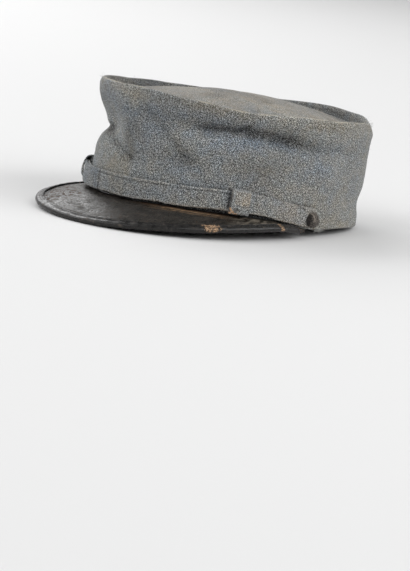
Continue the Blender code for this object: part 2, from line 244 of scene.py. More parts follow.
# Folds of the side, each along a line from one point to another at a larger angle. Heights and
# the reaches above and below the line are shares of CROWN_HEIGHT, depth a share of FOLD_DEPTH
# name, from angle, from height, to angle, to height, above, below, depth
FOLDS = [
    ("waist", -80, 0.60, -24, 0.62, 0.18, 0.13, 0.95),
    ("front_fold", -24, 0.62, 2, 0.34, 0.08, 0.07, 0.38),
    ("front_hollow", 2, 0.84, 26, 0.42, 0.10, 0.10, 0.30),
    ("left_crease", 22, 0.75, 66, 0.77, 0.08, 0.15, 0.58),
    ("left_crease_end", 66, 0.77, 98, 0.69, 0.09, 0.15, 0.40),
    ("left_swell", 34, 0.58, 60, 0.54, 0.10, 0.14, -0.12),
    ("back_left", 112, 0.24, 134, 0.22, 0.10, 0.12, 0.25),
    ("back", 165, 0.70, 205, 0.66, 0.10, 0.16, 0.35),
    ("right_crease", -140, 0.72, -100, 0.76, 0.08, 0.16, 0.40),
    ("right_hollow", -118, 0.42, -96, 0.30, 0.10, 0.12, 0.25),
]

# Sharp lines that the folds close to, in the same columns
CREASES = [
    ("left_pinch", 30, 0.752, 46, 0.775, 0.022, 0.045, 0.30),
    ("left_pinch_up", 46, 0.775, 50, 0.825, 0.020, 0.028, 0.30),
    ("left_lower_line", 51, 0.775, 80, 0.735, 0.030, 0.060, 0.19),
    ("left_lower_end", 80, 0.705, 94, 0.71, 0.030, 0.060, 0.12),
    ("waist_line", -78, 0.560, -30, 0.575, 0.032, 0.060, 0.28),
    ("waist_slope", -78, 0.480, -34, 0.480, 0.090, 0.130, 0.17),
    ("front_line", -30, 0.570, -2, 0.353, 0.028, 0.040, 0.24),
    ("hollow_line", 6, 0.82, 28, 0.44, 0.034, 0.045, 0.12),
    ("right_line", -134, 0.725, -106, 0.755, 0.024, 0.050, 0.18),
    ("back_line", 170, 0.70, 198, 0.675, 0.024, 0.050, 0.14),
]

# Marks on the cloth of the side, each a soft patch. Heights and reaches up and down are shares of
# CROWN_HEIGHT. Tan is dust and fading to brown, or bluer cloth below zero. Dark is grime, and is
# painted shade in the patches named for shade, shadow and creases and in the bluer patch high on
# the front. Light is a rubbed, pale bloom, and is a painted highlight on the front bulge and below
# the left crease
# name, angle, height, reach in angle, reach in height, tan, dark, light
PATCHES = [
    ("front_stain", -11, 0.26, 8, 0.10, 0.95, 0.10, 0.0),
    # Painted highlight on the front bulge
    ("front_highlight", -17, 0.50, 6, 0.16, 0.0, 0.0, 0.75),
    ("front_rim_brown", 15, 0.97, 16, 0.05, 1.10, 0.30, 0.0),
    ("left_rim_brown", 38, 0.965, 7, 0.025, 0.60, 0.10, 0.0),
    ("front_rim_tan", 2, 0.92, 9, 0.08, 0.60, 0.0, 0.0),
    # Bluer cloth, darkened with painted shade
    ("front_blue_shade", -6, 0.78, 16, 0.07, -0.6, 0.30, 0.0),
    ("front_left_shade", -30, 0.86, 12, 0.09, 0.15, 0.40, 0.0),
    ("rim_middle_shade", 45, 0.93, 18, 0.05, 0.20, 0.22, 0.0),
    ("rim_rear_shade", 84, 0.93, 16, 0.06, 0.15, 0.28, 0.0),
    ("left_rear_upper_tan", 110, 0.70, 9, 0.12, 0.60, 0.0, 0.10),
    ("middle_blue", 38, 0.52, 7, 0.12, -0.5, 0.0, 0.0),
    ("front_brown", -2, 0.14, 7, 0.08, 0.5, 0.0, 0.0),
    ("front_shade", -3, 0.62, 9, 0.12, -0.2, 0.50, 0.0),
    ("middle_shade", 24, 0.44, 8, 0.10, 0.0, 0.35, 0.0),
    # Grime and painted shade darken the cloth along the left crease and its end
    ("crease_grime_and_shade", 50, 0.78, 18, 0.045, 0.10, 0.80, 0.0),
    ("crease_end_grime_and_shade", 80, 0.725, 16, 0.05, 0.0, 0.62, 0.0),
    ("crease_right_grime_and_shade", 66, 0.765, 12, 0.045, 0.05, 0.35, 0.0),
    ("middle_right_shade", 62, 0.47, 16, 0.20, 0.22, 0.30, 0.0),
    ("crease_blue", 66, 0.69, 34, 0.07, -0.8, 0.0, 0.0),
    # Painted highlight below the left crease, on bluer cloth
    ("under_crease_highlight", 42, 0.66, 18, 0.07, -0.5, 0.0, 0.30),
    ("lower_bloom", 30, 0.30, 18, 0.14, -0.2, 0.0, 0.25),
    ("rear_blue", 84, 0.52, 12, 0.12, -0.40, 0.0, 0.0),
    ("left_rear_band", 104, 0.45, 7, 0.16, 0.50, 0.0, 0.0),
    ("left_rear_tan", 92, 0.16, 18, 0.22, 0.70, 0.0, 0.15),
    ("left_rear_rim_tan", 100, 0.93, 22, 0.08, 0.55, 0.0, 0.10),
    ("left_rear_crest_brown", 124, 0.985, 9, 0.03, 1.0, 0.0, 0.1),
    ("left_hem_tan", 98, -0.02, 13, 0.07, 1.40, 0.0, 0.30),
    ("left_low_tan", 62, 0.20, 16, 0.10, 0.45, 0.0, 0.10),
    ("middle_tan", 60, 0.44, 12, 0.10, 0.35, 0.0, 0.0),
    ("tip_shadow", 80.0, 0.176, 4.0, 0.016, 0.1, 1.3, 0.0),
    ("front_bulge_shade", -2, 0.44, 5, 0.10, 0.0, 0.45, 0.0),
    ("rear_dark_rim", 118, 0.80, 10, 0.10, 0.25, 0.25, 0.0),
    ("left_edge_pale", 123, 0.50, 9, 0.32, 0.55, 0.0, 0.30),
    ("back_tan", 168, 0.30, 26, 0.24, 0.55, 0.0, 0.0),
    ("back_blue", 150, 0.55, 16, 0.16, -0.6, 0.0, 0.0),
    ("right_tan", -92, 0.24, 22, 0.20, 0.50, 0.0, 0.0),
    ("right_blue", -120, 0.55, 18, 0.16, -0.6, 0.0, 0.0),
    ("right_bloom", -70, 0.80, 18, 0.14, 0.0, 0.0, 0.30),
]

# Places where the binding is rubbed through
# name, angle in degrees, half length in degrees, strength
RUBS = [
    ("left_rub", 40.5, 3.7, 1.0),
    ("left_end_rub", 67.6, 1.5, 0.95),
    ("corner_rub", 78.0, 1.4, 0.7),
    ("front_rub", 6.0, 1.2, 0.4),
    ("right_rub", -63.0, 3.0, 0.7),
]

# Frayed places, each a tuft of loose threads
# name, angle in degrees, height, out, spread in degrees, spread in height, threads, length,
# radius, paleness
FRAYS = [
    ("left_button_fray", 89.0, -0.0026, 0.0016, 1.2, 0.0005, 46, 0.0019, 0.00016, 1.0),
    ("left_tip_fray", 83.0, -0.0024, 0.0022, 1.0, 0.0003, 14, 0.0014, 0.00011, 0.8),
    ("left_keeper_fray", 48.0, 0.0032, 0.0062, 1.2, 0.0008, 16, 0.0015, 0.00009, 0.85),
    ("far_rim_knot", 163.0, 0.0713, -0.0020, 0.25, 0.0002, 16, 0.0013, 0.00012, 0.0),
]

# Unevenness of the surfaces, each a sum of random swells: depth, size, seed
SWELLS = {
    "side": [(0.00040, 0.017, 1), (0.00016, 0.0062, 2), (0.00006, 0.0024, 3)],
    "rim": [(0.00018, 0.021, 4), (0.00008, 0.0065, 5)],
    "top": [(0.00045, 0.026, 6), (0.00014, 0.008, 7)],
    "top_puckers": [(0.00035, 0.007, 8)],
    "peak": [(0.00018, 0.019, 11), (0.00005, 0.006, 12)],
    "binding": [(0.00012, 0.0045, 13)],
    "binding_rub": [(0.00022, 0.0011, 14)],
    "strap_run": [(0.00022, 0.012, 21)],
    "strap_nicks": [(0.00016, 0.0023, 61)],
    "strap": [(0.00010, 0.0058, 23), (0.00006, 0.0021, 25)],
    "keeper": [(0.00012, 0.0040, 31)],
    "button": [(0.00028, 0.0021, 41), (0.00010, 0.0008, 44)],
}

# Yarns of the wool: length, width, turn in degrees, share of the grain
YARNS = [
    (0.00120, 0.00060, 58, 0.34),
    (0.00100, 0.00056, -28, 0.28),
    (0.00066, 0.00034, 15, 0.38),
]

# Clouding of the wool: noise scale, detail, roughness, then the noise and its colour factor
# where the cloth is darkest or bluest, and where it is palest or warmest
CLOUDING = [
    (330.0, 2.0, 0.6, 0.30, (0.84, 0.84, 0.84), 0.70, (1.16, 1.16, 1.16)),
    (130.0, 1.0, 0.5, 0.34, (0.96, 1.0, 1.04), 0.66, (1.04, 1.0, 0.945)),
    (19.0, 3.0, 0.6, 0.32, (0.85, 0.88, 0.93), 0.68, (1.15, 1.12, 1.05)),
]

# Marks that show only where a fact is above 1: near black in the painted shadow of the gap under
# the strap and along the back seam, pale on the worn crest and in the painted highlights, tan where
# the left keeper is torn
# fact, start, end, share, colour
BARE_AND_SHADOW_MARKS = [
    ("dark", 1.3, 1.9, 1.0, (24, 23, 22)),
    ("light", 1.1, 1.8, 0.65, (184, 174, 154)),
    ("tan", 1.1, 1.8, 0.8, (196, 152, 112)),
]

# Pale hairs on the wool: length, width, turn in degrees, noise where they start, and end
HAIRS = [
    (0.0017, 0.00024, 40, 0.69, 0.77),
    (0.0019, 0.00026, -50, 0.70, 0.78),
]

# Marks of the peak's leather: length, width, turn in degrees, detail, roughness, then the noise
# where the mark starts and where it is full
LEATHER_MARKS = {
    "scuff": (0.013, 0.006, 20, 5.0, 0.7, 0.53, 0.66),
    "scratch": (0.030, 0.00034, 3, 2.0, 0.7, 0.60, 0.69),
    "cross": (0.014, 0.00028, -24, 1.0, 0.7, 0.68, 0.75),
    "frayed": (0.0050, 0.0006, 0, 2.0, 0.6, 0.49, 0.59),
    "speck": (0.0020, 0.0006, 12, 2.0, 0.7, 0.34, 0.66),
    "hatch": (0.0050, 0.0006, 62, 1.0, 0.6, 0.52, 0.66),
    "mottle": (0.0070, 0.0028, -10, 4.0, 0.65, 0.46, 0.58),
}


def smooth(share):
    """Rises from 0 to 1 with level ends."""
    share = np.clip(share, 0.0, 1.0)
    return share * share * (3.0 - 2.0 * share)


def hill(at, centre, width, power=2):
    """1 at the centre and fading to both sides. A higher power makes it flatter on top."""
    return np.exp(-(((at - centre) / width) ** power))


def turn(angle):
    """The same angle between -pi and pi."""
    return (angle + math.pi) % math.tau - math.pi


def unit(vectors):
    return vectors / np.linalg.norm(vectors, axis=-1, keepdims=True)


def band_point(angle):
    """A point of the band's outside on the plane of the hem."""
    narrow = 1.0 - BAND_EGG * np.cos(angle)
    x = BAND_WIDTH / 2 * narrow * np.sin(angle)
    y = -BAND_LENGTH / 2 * np.cos(angle)
    return np.stack([x, y, np.zeros_like(x)], -1)


def band_normal(angle):
    """The outward direction there."""
    step = 0.001
    along = band_point(angle + step) - band_point(angle - step)
    return unit(np.stack([along[..., 1], -along[..., 0], along[..., 2]], -1))


def place(angle, out, height):
    """The point that lies so far outside the band and above its hem."""
    angle, out, height = np.broadcast_arrays(angle, out, height)
    point = band_point(angle) + band_normal(angle) * out[..., None]
    point[..., 2] = height
    return point


def from_table(rows, angle, column):
    """A column of a table read at any angle, with level turns at the rows."""
    degrees = np.degrees(turn(angle))
    at = np.array([row[0] for row in rows], float)
    value = np.array([row[column] for row in rows], float)
    i = np.clip(np.searchsorted(at, degrees), 1, len(at) - 1)
    share = smooth((degrees - at[i - 1]) / (at[i] - at[i - 1]))
    return value[i - 1] + (value[i] - value[i - 1]) * share


def rim_height(angle):
    return CROWN_HEIGHT * (1.0 + from_table(RIM, angle, 2))


def seam_height(angle):
    return -SEAM_DIP * from_table(SEAM, angle, 1)


def push(lines, angle, height):
    """How far the folds of a table push the cloth in, as a share of FOLD_DEPTH."""
    around = BAND_RADIUS / CROWN_HEIGHT
    total = 0.0
    for _, from_angle, from_height, to_angle, to_height, above, below, depth in lines:
        run = math.radians(to_angle - from_angle) * around
        climb = to_height - from_height
        length = math.hypot(run, climb)
        aside = turn(angle - math.radians(from_angle)) * around
        rise = height / CROWN_HEIGHT - from_height
        along = (aside * run + rise * climb) / length
        across = (run * rise - climb * aside) / length
        past = np.maximum(0.0, np.maximum(-along, along - length))
        reach = np.where(across > 0.0, above, below)
        total = total + depth * np.exp(-((across / reach) ** 2) - (past / (above + below)) ** 2)
    return total


def above_strap(angle, height):
    """0 behind the strap and its keepers, growing to 1 above them."""
    covered = np.abs(turn(angle)) < BUTTON_ANGLE
    low = np.where(covered, STRAP_WIDTH + STRAP_CLEARANCE, 0.0)
    return smooth((height - low) / (FOLD_FADE * CROWN_HEIGHT))


def plain_offset(angle, height):
    """How far the outside of the cloth stands outside the band's outline."""
    rise = (height - STRAP_ZONE) / (CROWN_HEIGHT - STRAP_ZONE)
    flare = RIM_FLARE * from_table(RIM, angle, 1) * smooth(rise)
    return flare - FOLD_DEPTH * push(FOLDS, angle, height) * above_strap(angle, height)


def top_seam(angle):
    return rim_height(angle) - TOP_DROP


def rim_fold(angle):
    return top_seam(angle) - TOP_THICKNESS - SEAM_MARGIN


def rim_inside(angle):
    """How far the inner face of the rim stands outside the band's outline."""
    low, high = rim_fold(angle), rim_height(angle)
    offsets = [plain_offset(angle, low + (high - low) * i / 4) for i in range(5)]
    return np.min(offsets, axis=0) - RIM_THICKNESS


def hem_height(angle, y):
    """Height of the hem. The back of it is pressed flat on the ground."""
    around = np.abs(turn(angle))
    behind = BAND_LENGTH / 2
    flat = (y - behind) * math.tan(STAND_LEAN)
    lowest = (-behind * math.cos(HEM_REST_ANGLE) - behind) * math.tan(STAND_LEAN)
    lift = smooth((around - BUTTON_ANGLE) / (HEM_REST_ANGLE - BUTTON_ANGLE))
    eased = seam_height(angle) + (lowest - seam_height(angle)) * lift
    return np.where(around >= HEM_REST_ANGLE, flat, eased)


def arc_angle(centre, length):
    """The angle that a length along the band takes up round an angle."""
    step = 0.01
    ends = band_point(np.array([centre - step, centre + step]))
    return length * 2 * step / float(np.linalg.norm(ends[1] - ends[0]))


def half_keeper():
    return arc_angle(KEEPER_ANGLE, KEEPER_WIDTH) / 2


def near_keeper(angle):
    beyond = np.abs(np.abs(angle) - KEEPER_ANGLE) - half_keeper() * KEEPER_CLEARANCE
    return 1.0 - smooth(beyond / KEEPER_EASE)


def strap_lift(angle):
    """Gap between the band and the inner layer of the strap."""
    slack = STRAP_SLACK * smooth(1.0 - np.abs(angle) / BUTTON_ANGLE)
    return GAP + slack + (KEEPER_ROOM - slack) * near_keeper(angle)


def strap_bottom(angle):
    rise = BINDING_THICKNESS + STRAP_CLEARANCE
    return seam_height(angle) + rise + KEEPER_ROOM * near_keeper(angle)


def strap_middle(angle):
    return strap_bottom(angle) + STRAP_WIDTH / 2


def ripple(points, size, seed):
    """Smooth seeded noise between about -1 and 1, with swells of the given size."""
    count = 32
    lattice = np.random.default_rng(seed).uniform(-1.0, 1.0, (count, count, count))
    at = np.asarray(points) / size + count * 4
    cell = np.floor(at).astype(int)
    share = smooth(at - cell)
    total = 0.0
    for corner in range(8):
        bits = np.array([corner & 1, corner >> 1 & 1, corner >> 2 & 1])
        i = (cell + bits) % count
        weight = np.prod(np.where(bits == 1, share, 1.0 - share), axis=-1)
        total = total + lattice[i[..., 0], i[..., 1], i[..., 2]] * weight
    return total * 1.6


def swell(name, points, shift=0):
    """The sum of a surface's swells. A shift of the seeds makes two alike surfaces differ."""
    total = 0.0
    for depth, size, seed in SWELLS[name]:
        total = total + depth * ripple(points, size, seed + shift)
    return total


def blotch(points, size, seed, contrast=1.0):
    """Random soft patches, from 0 to 1."""
    return smooth(ripple(points, size, seed) * contrast)


def add_object(name, data):
    made = bpy.data.objects.new(name, data)
    bpy.context.scene.collection.objects.link(made)
    return made


def grid_piece(name, points, uv, closed_rows, closed_columns, facts):
    """A mesh over a grid of points. uv has a row or a column more where the grid closes.

    A grid with closed rows and open columns gets a face at both ends. facts are named shares
    for each point that the materials read.
    """
    rows, columns = points.shape[:2]
    row_count = rows if closed_rows else rows - 1
    column_count = columns if closed_columns else columns - 1
    i, j = np.meshgrid(np.arange(row_count), np.arange(column_count), indexing="ij")
    i, j = i.ravel(), j.ravel()
    corners = [(i, j), (i, j + 1), (i + 1, j + 1), (i + 1, j)]
    faces = np.stack([r % rows * columns + c % columns for r, c in corners], -1)
    flat = points.reshape(-1, 3)
    a, b, c, d = (flat[faces[:, k]] for k in range(4))
    inside_out = (a * np.cross(b, c)).sum() + (a * np.cross(c, d)).sum() < 0.0
    if inside_out:
        faces = faces[:, ::-1]
        corners = corners[::-1]
    uvs = np.stack([uv[r, c] for r, c in corners], 1).reshape(-1, 2)
    faces = faces.tolist()
    if closed_rows and not closed_columns:
        ring = np.arange(rows) * columns
        for end in (ring[::-1], ring + columns - 1):
            end = end[::-1] if inside_out else end
            faces.append(end.tolist())
            uvs = np.concatenate([uvs, uv[end // columns, end % columns]])
    mesh = bpy.data.meshes.new(name)
    mesh.from_pydata(flat.tolist(), [], faces)
    mesh.uv_layers.new(name="cloth").data.foreach_set("uv", uvs.ravel().astype(np.float32))
    for fact, values in facts.items():
        attribute = mesh.attributes.new(fact, "FLOAT", "POINT")
        attribute.data.foreach_set("value", np.broadcast_to(values, (rows, columns)).ravel())
    mesh.shade_smooth()
    mesh.update()
    return add_object(name, mesh)


def close_middle(piece, count):
    """Closes the small holes that a grid of rings leaves in its first and last ring."""
    mesh = piece.data
    last = len(mesh.vertices) - count
    bm = bmesh.new()
    bm.from_mesh(mesh)
    bm.verts.ensure_lookup_table()
    for start in (0, last):
        bm.faces.new([bm.verts[start + i] for i in range(count)])
    bmesh.ops.recalc_face_normals(bm, faces=bm.faces)
    bm.to_mesh(mesh)
    bm.free()
    mesh.shade_smooth()


def lengths_down(points):
    """The running length down the rows of a grid, averaged over its columns."""
    steps = np.linalg.norm(np.diff(points, axis=0), axis=-1).mean(axis=1)
    return np.concatenate([[0.0], np.cumsum(steps)])


def cloth_uv(down, around):
    """Coordinates in metres of the flat cloth: round the piece, then down it."""
    return np.stack(np.meshgrid(down, around, indexing="ij")[::-1], -1)


def with_row(uv, row):
    """The coordinates with one more row, for a mesh whose rows close."""
    return np.concatenate([uv, row[None]], axis=0)


def stand():
    """The place of the cap's own frame in the world."""
    return Matrix.Translation(STAND_PLACE) @ Matrix.Rotation(-STAND_LEAN, 4, "X")


def settle(piece, slot, material, *nodes):
    """Stands a piece up with the cap and puts it in place of its solids."""
    piece.data.transform(stand())
    piece.data.materials.append(material)
    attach(piece, "root")
    if nodes:
        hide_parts(*nodes)


def crown_offset(angle, height):
    """The outside of the cloth with its creases and the unevenness of worn wool.

    A soft roll lies under the crushed corner of the rim, and a seam runs down the back.
    """
    free = above_strap(angle, height)
    out = plain_offset(angle, height) - FOLD_DEPTH * push(CREASES, angle, height) * free
    uneven = swell("side", place(angle, 0.0, height))
    roll = 0.0008 * hill(np.degrees(turn(angle)), 130, 9)
    out = out + roll * hill(rim_height(angle) - height, 0.0075, 0.0035)
    from_back = (math.pi - np.abs(turn(angle))) * BAND_RADIUS
    seam = 0.00045 * hill(from_back, 0.0, 0.0006) - 0.00012 * hill(from_back, 0.0020, 0.0010)
    return out + uneven * free - seam * smooth((CROWN_HEIGHT - height) / 0.006)


def rim_lumps(angle):
    """Small rises and dips along the rim, where the padding has shifted or is crushed."""
    crushed = 0.0019 * hill(np.degrees(turn(angle)), 131, 8)
    return swell("rim", place(angle, 0.0, 0.0)) - crushed


def crown_section(angle):
    """Round the section of the cloth, from inside its hem and up its outside: points and heights."""
    top = rim_height(angle)
    shoulder = top - RIM_SHOULDER
    half_rim = RIM_THICKNESS / 2
    half_cloth = CLOTH_THICKNESS / 2
    fold = rim_fold(angle)
    ledge = fold - RIM_PADDING
    inside = rim_inside(angle)
    low = hem_height(angle, band_point(angle)[:, 1]) + half_cloth
    lumps = rim_lumps(angle)
    quarter = math.pi / 2
    rows = []
    heights = []

    def add(height, inwards, lumped=0.0):
        rows.append(place(angle, crown_offset(angle, height) - inwards, height + lumps * lumped))
        heights.append(height)

    for bend in np.linspace(0.0, math.pi, HEM_ROWS):
        add(low - half_cloth * math.sin(bend), half_cloth * (1.0 + math.cos(bend)))
    for share in np.linspace(0.0, 1.0, CROWN_ROWS + 1)[1:]:
        add(low + (shoulder - low) * share, 0.0)
    for bend in np.linspace(0.0, quarter, SHOULDER_ROWS + 1)[1:]:
        height = shoulder + RIM_SHOULDER * math.sin(bend)
        add(height, half_rim * (1.0 - math.cos(bend)), math.sin(bend))
    for bend in np.linspace(0.0, quarter, CREST_ROWS + 1)[1:-1]:
        height = top - half_rim * (1.0 - math.cos(bend))
        add(height, half_rim * (1.0 + math.sin(bend)), math.cos(bend))
    for share in np.linspace(0.0, 1.0, RIM_FACE_ROWS):
        height = (top - half_rim) * (1.0 - share) + fold * share
        rows.append(place(angle, inside, height))
        heights.append(height)
    for share in np.linspace(0.0, 1.0, INNER_ROWS + 1)[:-1]:
        add(ledge * (1.0 - share) + low * share, CLOTH_THICKNESS)
    return np.stack(rows), np.stack(heights)


def patch_facts(angle, height):
    """The shares of tan, dark and light that the patches give each point."""
    marks = {"tan": 0.0, "dark": 0.0, "light": 0.0}
    for _, at, level, wide, tall, tan, dark, light in PATCHES:
        aside = np.degrees(turn(angle - math.radians(at))) / wide
        rise = (height / CROWN_HEIGHT - level) / tall
        near = np.exp(-(aside**2) - rise**2)
        for fact, amount in (("tan", tan), ("dark", dark), ("light", light)):
            marks[fact] = marks[fact] + amount * near
    return marks


def crown_facts(angle, height):
    """Side stains, rim browning, crease grime, crest rubbing, and painted shade, shadow and
    highlight.
    """
    facts = patch_facts(angle, height)
    inner = np.arange(len(height))[:, None] > np.argmax(height, axis=0)[None]
    degrees = np.degrees(turn(angle))
    below_rim = rim_height(angle) - height

    # Creases are darkened by grime and by painted shade
    creased = push(CREASES, angle, height) * above_strap(angle, height)
    seam_line = 0.8 * hill(np.degrees(np.abs(angle)), 180, 0.25)
    dark = np.clip(facts["dark"] + creased * 2.4, 0.0, 1.1) + seam_line
    # Painted shadow: the cloth below the strap's lower edge, in the gap above the peak, goes nearly
    # black
    sewn = smooth((math.radians(80) - np.abs(angle)) / 0.05)
    crevice_shadow = smooth((strap_bottom(angle) + 0.0010 - height) / 0.0008) * sewn
    # Painted shade inside the wall, darkest towards the wearer's right front
    far_shade = 0.36 - 0.24 * np.cos(angle - math.radians(125))
    facts["dark"] = np.where(inner, far_shade, np.maximum(dark, 2.4 * crevice_shadow))

    near_rim = smooth(1.0 - below_rim / 0.012)
    facts["tan"] = np.clip(facts["tan"] + 0.45 * near_rim, -1.0, 1.0)

    # The crest is paler for rubbing, and for a painted highlight along it
    rubbed = 0.9 + 0.8 * smooth((degrees + 40) / 8) * smooth((118 - degrees) / 10)
    rubbed = (rubbed + 0.6 * ripple(place(angle, 0.0, 0.0), 0.007, 16)).clip(0.2)
    light = facts["light"] + rubbed * hill(below_rim, 0.0, 0.0009)
    facts["light"] = np.where(inner, 0.0, light)
    return facts


def make_crown_side(material):
    angle = np.linspace(-math.pi, math.pi, CROWN_COLUMNS, endpoint=False)
    points, height = crown_section(angle)
    uv = cloth_uv(lengths_down(points), np.append(angle, math.pi) * BAND_RADIUS)
    uv = with_row(uv, uv[-1] + [0.0, CLOTH_THICKNESS])
    facts = crown_facts(angle[None], height)
    piece = grid_piece("crown_side_cloth", points, uv, True, True, facts)
    settle(piece, "wool", material, "crown_side")


def top_point(angle, share):
    """The upper face of the top: share 1 is its seam, just inside the rim, and 0 its middle."""
    seam = place(angle, rim_inside(angle) - GAP, top_seam(angle))
    level = CROWN_HEIGHT - TOP_DROP
    lean = 1.0 + (TOP_SWELL_LEFT * np.sin(angle) + TOP_SWELL_FRONT * np.cos(angle)) * share
    swelling = TOP_RISE * lean * (1.0 - share**2) ** TOP_FULLNESS
    point = seam * share
    point[..., 2] = level + (seam[..., 2] - level) * share**2 + swelling
    return point


def top_facts(points, share):
    """Stains, a darker seam and faded blotches on the top, and a painted shadow and highlight."""
    x, y = points[..., 0], points[..., 1]
    leftwards = smooth(x / 0.05)
    rearwards = smooth((x * 0.78 + y * 0.63 + 0.01) / 0.04)
    frontwards = x * 0.63 - y * 0.78
    tan = 0.45 + 0.75 * ripple(points, 0.030, 9)
    tan = tan - leftwards * 0.8 * blotch(points, 0.013, 19, 1.3)
    dark = smooth((share - 0.90) / 0.10) * 0.6 + 0.45 * blotch(points, 0.016, 15)
    dark = dark + leftwards * 0.30 * blotch(points, 0.009, 17, 1.4)
    # Painted shadow on the top towards the wearer's left rear, on its far part by the wall
    dark = dark + 0.45 * rearwards * smooth((0.014 - frontwards) / 0.03)
    light = 0.55 * blotch(points, 0.021, 10) + 0.35 * blotch(points, 0.010, 18, 1.4)
    # Painted highlight on the top towards the wearer's left rear, in a band nearer the front
    light = light + 0.45 * rearwards * hill(frontwards, 0.040, 0.014)
    return {"tan": np.clip(tan, -0.5, 1.0), "dark": dark, "light": light}


def make_crown_top(material):
    """The worn top, puckered along its seam. Rings go out over its face and back below it."""
    angle = np.linspace(-math.pi, math.pi, CROWN_COLUMNS, endpoint=False)
    shares = np.sin(np.linspace(0.004, 1.0, TOP_RINGS) * math.pi / 2)
    upper = np.stack([top_point(angle, share) for share in shares])
    puckers = swell("top_puckers", upper * [1, 1, 0]) * hill(shares, 0.93, 0.06)[:, None]
    edge = smooth((1.0 - shares) / 0.03)[:, None]
    upper[..., 2] += (swell("top", upper) + puckers) * edge
    points = np.concatenate([upper, upper[::-1] - [0.0, 0.0, TOP_THICKNESS]])
    uv = np.concatenate([points[..., :2], points[:, :1, :2]], axis=1)
    facts = top_facts(points, np.concatenate([shares, shares[::-1]])[:, None])
    piece = grid_piece("crown_top_cloth", points, uv, False, True, facts)
    close_middle(piece, CROWN_COLUMNS)
    settle(piece, "top_wool", material, "crown_top")


def peak_width(angle):
    share = np.cos(math.pi / 2 * np.minimum(1.0, np.abs(angle) / PEAK_SPAN))
    return PEAK_LENGTH * np.maximum(share, 0.0) ** PEAK_FULLNESS


def peak_end(width):
    """The angle at which the peak is only so wide."""
    share = (width / PEAK_LENGTH) ** (1.0 / PEAK_FULLNESS)
    return PEAK_SPAN * math.acos(min(1.0, share)) / (math.pi / 2)


def peak_point(angle, share):
    """The upper face of the peak, from the band, at share 0, to its edge, at share 1."""
    side = np.minimum(1.0, np.abs(angle) / PEAK_SPAN)
    slope = PEAK_SLOPE_FRONT + (PEAK_SLOPE_SIDE - PEAK_SLOPE_FRONT) * side
    reach = peak_width(angle) * share
    height = seam_height(angle) - GAP - reach * np.sin(slope)
    height = height + PEAK_CAMBER * np.sin(math.pi * share) * peak_width(angle) / PEAK_LENGTH
    return place(angle, reach * np.cos(slope), height)


def peak_frame(angle):
    """At the edge of the peak: the edge point, the way outwards and the upward normal."""
    step = 0.004
    edge = peak_point(angle, 1.0)
    along = unit(peak_point(angle + step, 1.0) - peak_point(angle - step, 1.0))
    across = unit(edge - peak_point(angle, 0.9))
    normal = unit(np.cross(along, across))
    normal = np.where(normal[..., 2:] < 0.0, -normal, normal)
    out = unit(across - along * (along * across).sum(-1, keepdims=True))
    return edge, out, normal


def peak_facts(degrees, reach):
    """Where the upper side is torn and cracked along its seam, pitted, and grey with dust and a
    painted reflection.
    """
    ragged = hill(reach, 0.0052, 0.0017) + 0.8 * hill(reach, 0.0090, 0.0008)
    upper_side = reach > -PEAK_LENGTH
    return {
        "torn": hill(degrees, 32, 14, 4) * ragged,
        "cracked": hill(degrees, 31, 21, 4) * hill(reach, 0.0018, 0.0026),
        "pitted": smooth((-degrees - 12) / 14) * smooth((reach - 0.004) / 0.010),
        "dust_and_reflection": smooth((degrees - 44) / 12) * upper_side,
    }


def make_peak(material):
    """The dented leather of the peak. Rows go out over its upper side and back below it."""
    end = peak_end(PEAK_CORNER)
    angle = np.linspace(-end, end, PEAK_COLUMNS + 1)
    width = peak_width(angle)
    zone = np.minimum(PEAK_EDGE_ZONE, width * 0.5)
    normal = peak_frame(angle)[2]
    inner = np.linspace(0.0, 1.0, PEAK_ROWS + 1)[:-1, None]
    outer = np.linspace(1.0, 0.0, PEAK_EDGE_ROWS)[:, None]
    from_edge = np.concatenate([width - (width - zone) * inner, zone * outer])
    flange = place(angle, -CLOTH_THICKNESS, seam_height(angle) - GAP)
    rows = [flange]
    for distance in from_edge:
        point = peak_point(angle, 1.0 - distance / width)
        dents = swell("peak", point)
        loose = smooth((width - distance) / 0.004) * smooth(distance / 0.006)
        for line in PEAK_LINES:
            pressed = PEAK_LINE_DEPTH * hill(distance, line, PEAK_LINE_REACH)
            dents = dents - pressed / loose.clip(0.2)
        rows.append(point + normal * (dents * loose)[:, None])
    for share in np.linspace(1.0, 0.0, PEAK_UNDER_ROWS):
        rows.append(peak_point(angle, share) - normal * PEAK_THICKNESS)
    rows.append(flange - [0.0, 0.0, PEAK_THICKNESS])
    points = np.stack(rows)

    columns = len(angle)
    under = np.linspace(-0.002, -PEAK_LENGTH, PEAK_UNDER_ROWS)[:, None]
    far = np.concatenate([width[None] + CLOTH_THICKNESS, from_edge, under.repeat(columns, axis=1)])
    far = np.concatenate([far, -width[None] - CLOTH_THICKNESS])
    uv = np.stack([np.broadcast_to(angle * BAND_RADIUS * PEAK_STRETCH, far.shape), far], -1)
    # The underside is unworn, so its reach lies far from every mark
    beyond = np.full((PEAK_UNDER_ROWS + 1, columns), -1.0)
    reach = np.concatenate([np.full((1, columns), -CLOTH_THICKNESS), width - from_edge, beyond])
    facts = peak_facts(np.degrees(angle), reach)
    piece = grid_piece("peak_leather_form", points, with_row(uv, uv[-1]), True, False, facts)
    settle(piece, "peak_leather", material, "peak")


